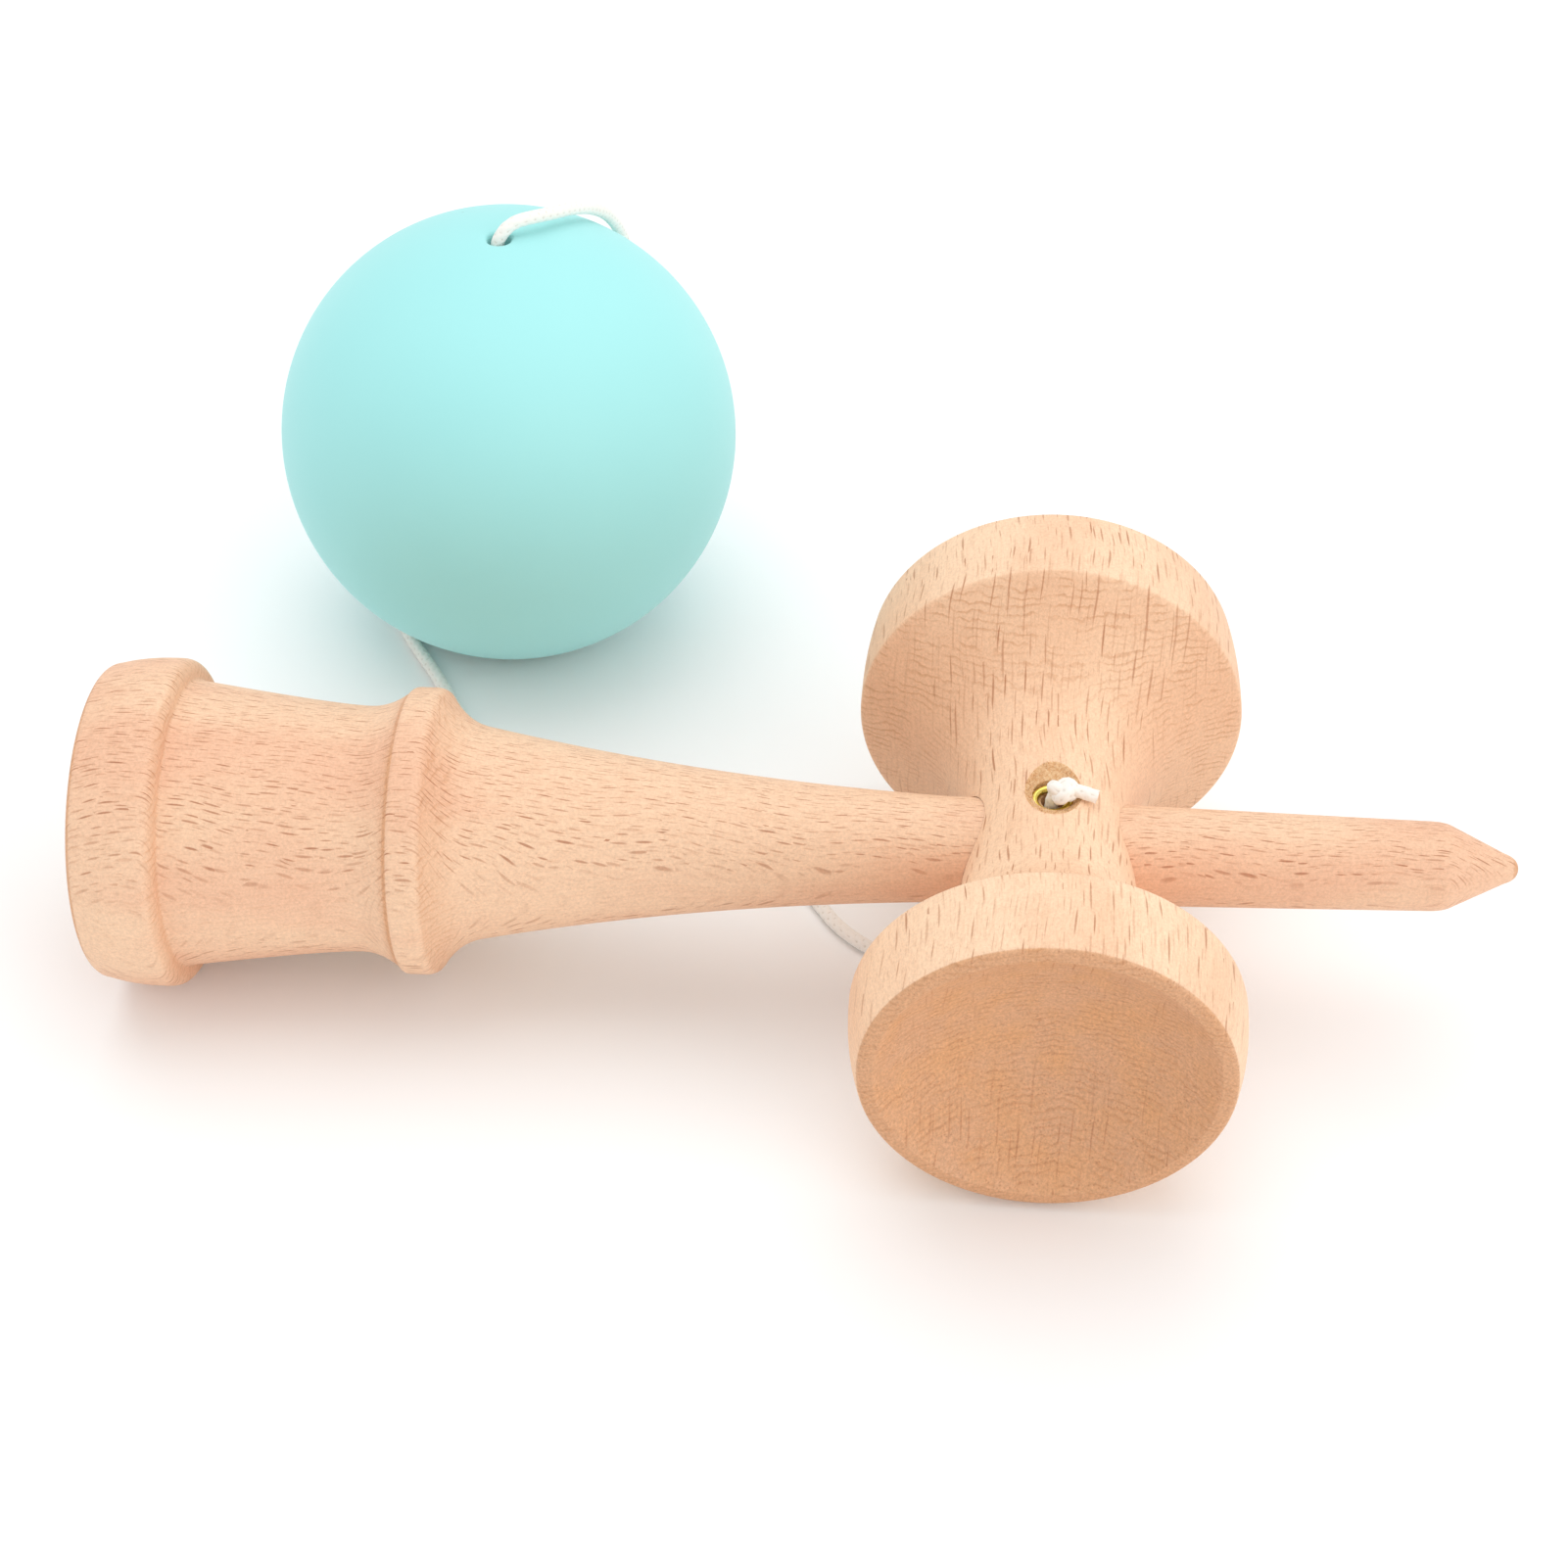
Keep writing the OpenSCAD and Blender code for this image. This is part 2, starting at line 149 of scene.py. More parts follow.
def smooth_through(points, steps):
    """A smooth curve through the points, with the given steps between two points."""
    curve = []
    for i in range(len(points) - 1):
        a, b, c = points[max(i - 1, 0)], points[i], points[i + 1]
        d = points[min(i + 2, len(points) - 1)]
        for k in range(steps):
            t = k / steps
            curve.append(b + t * (c - a) / 2 + t * t * (2 * a - 5 * b + 4 * c - d) / 2
                         + t * t * t * (3 * b - a - 3 * c + d) / 2)
    return curve + [points[-1]]


def even_steps(points, step):
    """The same line with points about one step apart."""
    line, carried = [points[0]], 0.0
    for a, b in zip(points, points[1:]):
        piece = (b - a).length
        while piece > 0 and carried + piece >= step:
            a = a + (b - a) * ((step - carried) / piece)
            piece = (b - a).length
            carried = 0.0
            line.append(a)
        carried += piece
    return line + [points[-1]]


run_line = [string_exit] + [crossing + Vector(p) for p in run_route]
coil_line = [ball_axis + coil_point(turned) for turned in range(0, coil_turned + 1, 4)]
lead_line = [ball_axis + Vector(p) for p in lead_foot]
for turn, out, height in lead_route:
    lead_line.append(ball_axis + Vector((out * math.cos(math.radians(turn)),
                                         out * math.sin(math.radians(turn)), height)))
string_line = (smooth_through(run_line + coil_line[:1], 16)[:-1] + coil_line
               + smooth_through(coil_line[-2:] + lead_line, 16)[17:])
string_line = even_steps(string_line, STRING_STEP)


def srgb(code):
    """Linear colour of an sRGB hex code."""
    levels = [int(code[i:i + 2], 16) / 255 for i in (1, 3, 5)]
    return [v / 12.92 if v <= 0.04045 else ((v + 0.055) / 1.055) ** 2.4 for v in levels] + [1.0]


def add(tree, kind, inputs=None, **settings):
    """Adds a node with its settings, and sets or links its inputs. A node that is given as an
    input stands for its first output."""
    new = tree.nodes.new(kind)
    for key, value in settings.items():
        setattr(new, key, value)
    for key, value in (inputs or {}).items():
        if isinstance(value, bpy.types.Node):
            value = value.outputs[0]
        if isinstance(value, bpy.types.NodeSocket):
            tree.links.new(value, new.inputs[key])
        else:
            new.inputs[key].default_value = value
    return new


def empty_material(name):
    """A new material and its node tree, with no node in it."""
    material = bpy.data.materials.new(name)
    material.use_nodes = True
    material.node_tree.nodes.clear()
    return material, material.node_tree


def braided_string():
    """Braided white cotton, matt: the raised braid catches the light, and the gaps in it are painted grey
    as shade.
    """
    material, tree = empty_material("braided_cotton")
    braid = add(tree, "ShaderNodeAttribute", attribute_name="braid")
    place = add(tree, "ShaderNodeTexCoord")
    fibre = add(tree, "ShaderNodeTexNoise", {"Vector": place.outputs["Object"], "Scale": 1 / (0.12 * MM),
                                            "Detail": 3.0, "Roughness": 0.7})
    soil = add(tree, "ShaderNodeTexNoise", {"Vector": place.outputs["Object"], "Scale": 1 / (9 * MM),
                                            "Detail": 2.0})
    # Painted shade: the ramp turns the low gaps in the braid grey and keeps its raised parts near white.
    strands_and_gap_shade = add(tree, "ShaderNodeValToRGB", {"Fac": braid.outputs["Fac"]})
    strands_and_gap_shade.color_ramp.elements[0].position = 0.0
    strands_and_gap_shade.color_ramp.elements[0].color = srgb("#DFD8CE")
    strands_and_gap_shade.color_ramp.elements[1].position = 0.45
    strands_and_gap_shade.color_ramp.elements[1].color = srgb("#FBF9F5")
    tint = add(tree, "ShaderNodeMix", {"Factor": soil.outputs["Fac"], "A": strands_and_gap_shade.outputs["Color"],
                                       "B": srgb("#F6F2EC")}, data_type="RGBA", blend_type="MULTIPLY")
    height = add(tree, "ShaderNodeMath", {0: fibre.outputs["Fac"], 1: 0.35, 2: braid.outputs["Fac"]},
                 operation="MULTIPLY_ADD")
    bump = add(tree, "ShaderNodeBump", {"Height": height, "Strength": 0.5,
                                        "Distance": 0.12 * MM})
    shader = add(tree, "ShaderNodeBsdfPrincipled", {
        "Base Color": tint.outputs["Result"], "Normal": bump, "Roughness": 0.85,
        "Specular IOR Level": 0.3, "Sheen Weight": 0.25, "Sheen Roughness": 0.5})
    add(tree, "ShaderNodeOutputMaterial", {"Surface": shader})
    return material


cotton = braided_string()
SIDES = 20
STRANDS = 4
BRAID_PITCH = 5.0


def braided_tube(name, lines, radius, material):
    """A mesh tube along each line, its skin raised in the diamonds of a round braid."""
    mesh = bpy.data.meshes.new(name)
    skin = bmesh.new()
    braid = skin.verts.layers.float.new("braid")
    uv = skin.loops.layers.uv.new("UVMap")
    for line in lines:
        side = (line[1] - line[0]).orthogonal().normalized()
        rings, along = [], 0.0
        for i, centre in enumerate(line):
            heading = (line[min(i + 1, len(line) - 1)] - line[max(i - 1, 0)]).normalized()
            side = (side - heading * side.dot(heading)).normalized()
            across = heading.cross(side)
            along += (centre - line[i - 1]).length if i else 0.0
            ring = []
            for k in range(SIDES):
                turn = 2 * math.pi * k / SIDES
                left = math.cos(STRANDS * (turn + 2 * math.pi * along / BRAID_PITCH))
                over = math.cos(STRANDS * (turn - 2 * math.pi * along / BRAID_PITCH))
                raised = (max(left, over) + 1) / 2
                out = side * math.cos(turn) + across * math.sin(turn)
                vert = skin.verts.new((centre + out * radius * (0.94 + 0.07 * raised)) * MM)
                vert[braid] = raised
                ring.append(vert)
            rings.append((ring, along))
        for (ring, start), (after, end) in zip(rings, rings[1:]):
            for k in range(SIDES):
                m = (k + 1) % SIDES
                wall = skin.faces.new((ring[k], ring[m], after[m], after[k]))
                places = ((k, start), (k + 1, start), (k + 1, end), (k, end))
                for loop, (u, v) in zip(wall.loops, places):
                    loop[uv].uv = (u / SIDES, v / (2 * math.pi * radius))
        for ring, flip in ((rings[0][0], True), (rings[-1][0], False)):
            skin.faces.new(ring[::-1] if flip else ring)
    bmesh.ops.recalc_face_normals(skin, faces=skin.faces)
    for wall in skin.faces:
        wall.smooth = True
    skin.to_mesh(mesh)
    skin.free()
    mesh.materials.append(material)
    piece = bpy.data.objects.new(name, mesh)
    scene.collection.objects.link(piece)
    return piece


string = braided_tube("string", [string_line], STRING_R, cotton)
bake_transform(string)
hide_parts("string_run", "string_coil", "string_lead")

# --- Handle ---------------------------------------------------------------------------
# The ken: one piece of beech turned on a lathe, sanded and left unvarnished. It has a
# base cup, a grip with a collar, a tapering stem and the spike, and the string's hole.
ROUND_STEPS = 144
BASE_REACH, BASE_CUP_R, BASE_BAND = 110.4, 19.3, 10.2
BASE_CUP_DEPTH, BASE_MOUTH_R = 7.0, 15.1
BASE_NARROWING, BASE_RIM_ROUND, BASE_EDGE_ROUND = 1.2, 1.4, 2.0
GRIP_WIDE_R, GRIP_THIN_R = 16.8, 14.4
COLLAR_R, COLLAR_W, COLLAR_REACH = 16.8, 4.1, 72.5
STEM_R, SEAT_IN_R, SEAT_OUT_R, SEAT_HALF = 12.45, 6.15, 5.75, 11.95
SPIKE_REACH, SPIKE_R, TIP_L, NOSE_R, NOSE_L = 53.5, 5.15, 8.6, 1.75, 1.6
STRING_HOLE_R = 1.5


def bend(a, b, c, steps):
    """Curve from a to c that leaves a and reaches c along the lines to b."""
    a, b, c = Vector(a), Vector(b), Vector(c)
    return [tuple((1 - t) ** 2 * a + 2 * t * (1 - t) * b + t * t * c)
            for t in (k / steps for k in range(steps + 1))]


def hollow(mouth_r, depth, rim, steps=24):
    """Round hollow of a cup, from its middle out to its mouth, as (along the axis, radius)."""
    ball_r = (mouth_r ** 2 + depth ** 2) / (2 * depth)
    opening = math.asin(mouth_r / ball_r)
    middle = rim + (ball_r - depth)
    return [(middle - ball_r * math.cos(opening * k / steps), ball_r * math.sin(opening * k / steps))
            for k in range(steps + 1)]


def band(edge, rim, wide_r, narrowing, rim_round, steps=16):
    """Barrel-shaped band with a rounded corner, from its rim down to its inner edge."""
    width = rim - edge
    full = 1 - rim_round / width
    side = [(edge + width * t, wide_r - narrowing * t ** 2.5)
            for t in (full * (1 - k / steps) for k in range(steps + 1))]
    corner = [(rim - rim_round * (1 - math.cos(a)), side[0][1] - rim_round * (1 - math.sin(a)))
              for a in (math.pi / 2 * k / 8 for k in range(9))]
    return corner + side[1:]


def mirrored(outline):
    """The same outline towards the other end of the axis."""
    return [(-s, r) for s, r in outline]


def without_doubles(outline):
    """The outline without the points that lie on the one before."""
    kept = outline[:1]
    for p in outline[1:]:
        if (Vector(p) - Vector(kept[-1])).length > 0.02:
            kept.append(p)
    return kept


collar_near, collar_far = -COLLAR_REACH - COLLAR_W / 2, -COLLAR_REACH + COLLAR_W / 2
grip_thin = collar_near - 5
base_edge = BASE_REACH - BASE_BAND
shoulder = SPIKE_REACH - TIP_L
handle_outline = without_doubles(
    mirrored(hollow(BASE_MOUTH_R, BASE_CUP_DEPTH, BASE_REACH))
    + [(-BASE_REACH, BASE_MOUTH_R + 0.3)]
    + mirrored(band(base_edge + BASE_EDGE_ROUND, BASE_REACH, BASE_CUP_R, BASE_NARROWING, BASE_RIM_ROUND))
    + bend((-base_edge - BASE_EDGE_ROUND, BASE_CUP_R), (-base_edge, BASE_CUP_R),
           (-base_edge, BASE_CUP_R - BASE_EDGE_ROUND), 8)
    + bend((-base_edge, GRIP_WIDE_R + 0.3), (-base_edge + 0.05, GRIP_WIDE_R),
           (-base_edge + 0.6, GRIP_WIDE_R - 0.08), 5)
    + bend((-base_edge + 0.8, GRIP_WIDE_R - 0.12), (grip_thin - 4, GRIP_THIN_R),
           (grip_thin, GRIP_THIN_R), 30)
    + bend((grip_thin, GRIP_THIN_R), (grip_thin + 2.6, GRIP_THIN_R), (collar_near, COLLAR_R - 0.5), 16)
    + bend((collar_near, COLLAR_R - 0.5), (collar_near + 0.25, COLLAR_R), (collar_near + 0.9, COLLAR_R), 5)
    + bend((collar_far - 1.3, COLLAR_R), (collar_far - 0.2, COLLAR_R - 0.1),
           (collar_far + 0.1, COLLAR_R - 0.8), 8)
    + bend((collar_far + 0.1, COLLAR_R - 0.8), (collar_far + 2.0, STEM_R + 0.6),
           (collar_far + 4.7, STEM_R), 16)
    + bend((collar_far + 4.7, STEM_R), (-SEAT_HALF - 28, SEAT_IN_R + 1.15), (-SEAT_HALF, SEAT_IN_R), 40)
    + [(SEAT_HALF, SEAT_OUT_R)]
    + bend((shoulder - 1.2, SPIKE_R), (shoulder + 0.4, SPIKE_R - 0.05), (shoulder + 1.3, SPIKE_R - 0.6), 8)
    + bend((SPIKE_REACH - NOSE_L, NOSE_R), (SPIKE_REACH, NOSE_R - 0.5), (SPIKE_REACH, 0), 10))


def shaded(piece):
    """Merges doubles, turns every face outwards and smooths all but the sharp edges."""
    skin = bmesh.new()
    skin.from_mesh(piece.data)
    bmesh.ops.remove_doubles(skin, verts=skin.verts, dist=0.0005 * MM)
    bmesh.ops.recalc_face_normals(skin, faces=skin.faces)
    for wall in skin.faces:
        wall.smooth = True
    skin.to_mesh(piece.data)
    skin.free()
    piece.data.set_sharp_from_angle(angle=math.radians(35))
    return piece


def made_by_nodes(name, mesh, tree, values):
    """The plain mesh that a geometry node tree makes of a mesh and its named inputs."""
    piece = bpy.data.objects.new(name, mesh)
    scene.collection.objects.link(piece)
    maker = piece.modifiers.new("maker", "NODES")
    maker.node_group = tree
    for item in tree.interface.items_tree:
        if item.name in values:
            maker[item.identifier] = values[item.name]
    seen = piece.evaluated_get(bpy.context.evaluated_depsgraph_get())
    made = bpy.data.meshes.new_from_object(seen)
    piece.modifiers.clear()
    piece.data = made
    return piece


def node_tree(name, sizes):
    """A geometry node tree with a Geometry input, the given inputs and a Material input."""
    tree = bpy.data.node_groups.new(name, "GeometryNodeTree")
    tree.interface.new_socket(name="Geometry", in_out="INPUT", socket_type="NodeSocketGeometry")
    for key, kind in sizes.items():
        tree.interface.new_socket(name=key, in_out="INPUT", socket_type="NodeSocket" + kind)
    tree.interface.new_socket(name="Material", in_out="INPUT", socket_type="NodeSocketMaterial")
    tree.interface.new_socket(name="Geometry", in_out="OUTPUT", socket_type="NodeSocketGeometry")
    return tree, add(tree, "NodeGroupInput").outputs


def lathe():
    """Turns an outline, its points at x along the axis and z out from it, round the X axis."""
    tree, given = node_tree("lathe", {"Steps": "Int"})
    points = add(tree, "GeometryNodeAttributeDomainSize", {"Geometry": given["Geometry"]})
    rows = add(tree, "ShaderNodeMath", {0: given["Steps"], 1: 1.0}, operation="ADD")
    sheet = add(tree, "GeometryNodeMeshGrid", {"Vertices X": points.outputs["Point Count"],
                                               "Vertices Y": rows})
    index = add(tree, "GeometryNodeInputIndex")
    column = add(tree, "ShaderNodeMath", {0: index, 1: rows}, operation="DIVIDE")
    column = add(tree, "ShaderNodeMath", {0: column}, operation="FLOOR")
    row = add(tree, "ShaderNodeMath", {0: index, 1: rows}, operation="MODULO")
    turn = add(tree, "ShaderNodeMath", {0: row, 1: given["Steps"]}, operation="DIVIDE")
    angle = add(tree, "ShaderNodeMath", {0: turn, 1: 2 * math.pi}, operation="MULTIPLY")
    place = add(tree, "GeometryNodeInputPosition")
    outline = add(tree, "GeometryNodeSampleIndex", {"Geometry": given["Geometry"], "Value": place,
                                                    "Index": column}, data_type="FLOAT_VECTOR")
    split = add(tree, "ShaderNodeSeparateXYZ", {0: outline}).outputs
    cosine = add(tree, "ShaderNodeMath", {0: angle}, operation="COSINE")
    sine = add(tree, "ShaderNodeMath", {0: angle}, operation="SINE")
    y = add(tree, "ShaderNodeMath", {0: split["Z"], 1: cosine}, operation="MULTIPLY")
    z = add(tree, "ShaderNodeMath", {0: split["Z"], 1: sine}, operation="MULTIPLY")
    turned = add(tree, "ShaderNodeCombineXYZ", {"X": split["X"], "Y": y, "Z": z})
    shape = add(tree, "GeometryNodeSetPosition", {"Geometry": sheet.outputs["Mesh"], "Position": turned})
    closed = add(tree, "GeometryNodeMergeByDistance", {"Geometry": shape,
                                                       "Distance": 0.001 * MM})
    real = add(tree, "GeometryNodeRealizeInstances", {0: closed})
    coated = add(tree, "GeometryNodeSetMaterial", {"Geometry": real,
                                                   "Material": given["Material"]})
    add(tree, "NodeGroupOutput", {0: coated})
    return tree


lathe_tree = lathe()


def turned(name, outline, material, place, steps=ROUND_STEPS):
    """A piece turned on the lathe from its outline, set in its place."""
    line = bpy.data.meshes.new(name)
    line.from_pydata([(s * MM, 0.0, r * MM) for s, r in outline],
                     [(i, i + 1) for i in range(len(outline) - 1)], [])
    piece = made_by_nodes(name, line, lathe_tree, {"Steps": steps, "Material": material})
    piece.data.transform(place)
    return shaded(piece)


def drilled(piece, cutter):
    """Takes the cutter's shape out of the piece; the new walls keep the cutter's material."""
    cut = piece.modifiers.new("cut", "BOOLEAN")
    cut.operation = "DIFFERENCE"
    cut.solver = "EXACT"
    cut.material_mode = "TRANSFER"
    cut.object = cutter
    seen = piece.evaluated_get(bpy.context.evaluated_depsgraph_get())
    made = bpy.data.meshes.new_from_object(seen)
    piece.modifiers.clear()
    piece.data = made
    bpy.data.objects.remove(cutter)
    return shaded(piece)


# Turns the lathe's axis, X, into the cup piece's axis and into straight up
to_cups = laid @ Matrix.Rotation(math.radians(90), 4, "Z")
to_up = Matrix.Rotation(math.radians(-90), 4, "Y")


def beech(name, centre, grain, tree_out, rims, fleck_gap, fleck_size, colours, pith=70.0):
    """Sanded beech. It gives the eye short brown ray flecks on the faces that look out of the
    tree, thin wavy growth rings, pinkish patches, and darker, rougher end grain in its cups.
    Its patterns are laid out in millimetres: X along the grain and Z out of the tree."""
    material, tree = empty_material(name)
    across = tree_out.cross(grain).normalized()
    turn = Matrix((grain, across, grain.cross(across)))
    place = add(tree, "ShaderNodeTexCoord").outputs
    wood = add(tree, "ShaderNodeMapping", {
        "Vector": place["Object"], "Location": -(turn @ centre) / MM, "Rotation": turn.to_euler(),
        "Scale": (1 / MM, 1 / MM, 1 / MM)})
    along = add(tree, "ShaderNodeSeparateXYZ", {0: wood}).outputs["X"]
    facing = add(tree, "ShaderNodeMapping", {"Vector": place["Normal"], "Rotation": turn.to_euler()},
                 vector_type="VECTOR")
    facing = add(tree, "ShaderNodeSeparateXYZ", {0: facing}).outputs

    # Slow drift of the grain, a millimetre or two over the length of the toy
    drift = add(tree, "ShaderNodeTexNoise", {"Vector": wood, "Scale": 0.045, "Detail": 2.0}).outputs
    bent = add(tree, "ShaderNodeVectorMath", {0: drift["Color"], 1: (3, 4, 4), 2: wood},
               operation="MULTIPLY_ADD")

    # Which way a face looks: out of the tree, or along the grain, into a cup or out of one
    outward = add(tree, "ShaderNodeMath", {0: facing["Z"]}, operation="ABSOLUTE")
    outward = add(tree, "ShaderNodeMapRange", {"Value": outward, "From Min": 0.1, "From Max": 0.5,
                                               "To Min": 0.1})
    from_middle = add(tree, "ShaderNodeMath", {0: along, 1: rims[0]}, operation="SUBTRACT")
    end = add(tree, "ShaderNodeMath", {0: from_middle}, operation="SIGN")
    into_cup = add(tree, "ShaderNodeMath", {0: facing["X"], 1: end}, operation="MULTIPLY")
    cup = add(tree, "ShaderNodeMapRange", {"Value": into_cup, "From Min": 0.5, "From Max": 0.72},
              interpolation_type="SMOOTHSTEP")
    flare = add(tree, "ShaderNodeMapRange", {"Value": into_cup, "From Min": -0.3, "From Max": -0.85},
                interpolation_type="SMOOTHSTEP")

    # The narrow flat rim of a cup, just inside its end
    reach = add(tree, "ShaderNodeMath", {0: from_middle}, operation="ABSOLUTE")
    near_end = add(tree, "ShaderNodeMapRange", {"Value": reach, "From Min": rims[1] - 0.4,
                                                "From Max": rims[1] - 0.1})
    facing_out = add(tree, "ShaderNodeMapRange", {"Value": into_cup, "From Min": 0.6, "From Max": 0.9})
    rim = add(tree, "ShaderNodeMath", {0: near_end, 1: facing_out}, operation="MULTIPLY")
    inside = add(tree, "ShaderNodeMath", {0: rim, 1: -0.25, 2: cup}, operation="MULTIPLY_ADD")

    def flecks(gap, size, least):
        """Rays: one lens-shaped fleck to a cell, each with its own strength and length."""
        cells = add(tree, "ShaderNodeVectorMath", {0: bent, 1: (1 / gap[0], 1 / gap[1], 1 / 26)},
                    operation="MULTIPLY")
        ray = add(tree, "ShaderNodeTexVoronoi", {"Vector": cells, "Scale": 1.0}).outputs
        chance = add(tree, "ShaderNodeSeparateColor", {0: ray["Color"]}).outputs
        off = add(tree, "ShaderNodeVectorMath", {0: cells, 1: ray["Position"]}, operation="SUBTRACT")
        off = add(tree, "ShaderNodeVectorMath", {
            0: off, 1: (2 * gap[0] / size[0], 2 * gap[1] / size[1], 0.9)}, operation="MULTIPLY")
        far = add(tree, "ShaderNodeVectorMath", {0: off}, operation="LENGTH").outputs["Value"]
        longer = add(tree, "ShaderNodeMapRange", {"Value": chance["Green"], "To Min": 0.55, "To Max": 1.25})
        fades = add(tree, "ShaderNodeMath", {0: longer, 1: 0.6}, operation="MULTIPLY")
        ends = add(tree, "ShaderNodeMath", {0: longer, 1: 1.1}, operation="MULTIPLY")
        lens_shape = add(tree, "ShaderNodeMapRange", {"Value": far, "From Min": ends, "From Max": fades})
        strength = add(tree, "ShaderNodeMapRange", {"Value": chance["Red"], "To Min": least})
        return add(tree, "ShaderNodeMath", {0: lens_shape, 1: strength}, operation="MULTIPLY")

    large = flecks(fleck_gap, fleck_size, 0.25)
    small = flecks((fleck_gap[0] * 0.55, fleck_gap[1] * 0.6), (fleck_size[0] * 0.45, fleck_size[1] * 0.6),
                   0.0)
    small = add(tree, "ShaderNodeMath", {0: small, 1: 0.32}, operation="MULTIPLY")
    fleck = add(tree, "ShaderNodeMath", {0: large, 1: small}, operation="MAXIMUM")
    fleck = add(tree, "ShaderNodeMath", {0: fleck, 1: outward}, operation="MULTIPLY")
    fainter = add(tree, "ShaderNodeMath", {0: cup, 1: -0.4, 2: 1.0}, operation="MULTIPLY_ADD")
    fleck = add(tree, "ShaderNodeMath", {0: fleck, 1: fainter}, operation="MULTIPLY")

    # Growth rings round a pith below the toy, about a millimetre apart, with small waves
    waves = add(tree, "ShaderNodeTexNoise", {"Vector": wood, "Scale": 0.3, "Detail": 3.0,
                                            "Roughness": 0.62}).outputs["Fac"]
    split = add(tree, "ShaderNodeSeparateXYZ", {0: bent}).outputs
    above_pith = add(tree, "ShaderNodeMath", {0: split["Z"], 1: pith}, operation="ADD")
    from_pith = add(tree, "ShaderNodeCombineXYZ", {"Y": split["Y"], "Z": above_pith})
    from_pith = add(tree, "ShaderNodeVectorMath", {0: from_pith}, operation="LENGTH").outputs["Value"]
    years = add(tree, "ShaderNodeMath", {0: waves, 1: 2.2, 2: from_pith}, operation="MULTIPLY_ADD")
    years = add(tree, "ShaderNodeMath", {0: years, 1: 1.15}, operation="MULTIPLY")
    year = add(tree, "ShaderNodeMath", {0: years}, operation="FRACT")
    darkens = add(tree, "ShaderNodeMapRange", {"Value": year, "From Min": 0.55, "From Max": 0.86},
                  interpolation_type="SMOOTHSTEP")
    stops = add(tree, "ShaderNodeMapRange", {"Value": year, "From Min": 1.0, "From Max": 0.94})
    late = add(tree, "ShaderNodeMath", {0: darkens, 1: stops}, operation="MULTIPLY")
    breaks = add(tree, "ShaderNodeTexNoise", {"Vector": wood, "Scale": 0.35, "Detail": 2.0}).outputs["Fac"]
    breaks = add(tree, "ShaderNodeMapRange", {"Value": breaks, "From Min": 0.38, "From Max": 0.6})
    late = add(tree, "ShaderNodeMath", {0: late, 1: breaks}, operation="MULTIPLY")

    # Fibres and pores along the grain
    fibre_place = add(tree, "ShaderNodeVectorMath", {0: bent, 1: (0.14, 3.4, 3.4)}, operation="MULTIPLY")
    fibre = add(tree, "ShaderNodeTexNoise", {"Vector": fibre_place, "Scale": 1.0, "Detail": 4.0,
                                            "Roughness": 0.68}).outputs["Fac"]
    dark_fibre = add(tree, "ShaderNodeMapRange", {"Value": fibre, "From Min": 0.48, "From Max": 0.8})
    pore_place = add(tree, "ShaderNodeVectorMath", {0: bent, 1: (0.45, 2.6, 2.6)}, operation="MULTIPLY")
    pore = add(tree, "ShaderNodeTexVoronoi", {"Vector": pore_place, "Scale": 1.0}).outputs
    pore_chance = add(tree, "ShaderNodeSeparateColor", {0: pore["Color"]}).outputs["Red"]
    pore_depth = add(tree, "ShaderNodeMapRange", {"Value": pore_chance, "From Min": 0.3})
    pores = add(tree, "ShaderNodeMapRange", {"Value": pore["Distance"], "From Min": 0.34, "From Max": 0.1})
    pores = add(tree, "ShaderNodeMath", {0: pores, 1: pore_depth}, operation="MULTIPLY")

    # Pink patches a few centimetres long, blotches in the cups, and the grit of the sanding
    patch_place = add(tree, "ShaderNodeVectorMath", {0: wood, 1: (0.022, 0.06, 0.06)}, operation="MULTIPLY")
    patch = add(tree, "ShaderNodeTexNoise", {"Vector": patch_place, "Scale": 1.0,
                                            "Detail": 3.0}).outputs["Fac"]
    patch = add(tree, "ShaderNodeMapRange", {"Value": patch, "From Min": 0.38, "From Max": 0.64},
                interpolation_type="SMOOTHSTEP")
    blotch = add(tree, "ShaderNodeTexNoise", {"Vector": wood, "Scale": 0.16, "Detail": 3.0,
                                             "Roughness": 0.6}).outputs["Fac"]
    blotch = add(tree, "ShaderNodeMapRange", {"Value": blotch, "From Min": 0.4, "From Max": 0.66})
    blotch = add(tree, "ShaderNodeMath", {0: blotch, 1: inside}, operation="MULTIPLY")
    grit = add(tree, "ShaderNodeTexNoise", {"Vector": wood, "Scale": 3.0, "Detail": 2.0,
                                           "Roughness": 0.8}).outputs["Fac"]
    cup_grit = add(tree, "ShaderNodeMath", {0: grit, 1: cup}, operation="MULTIPLY")

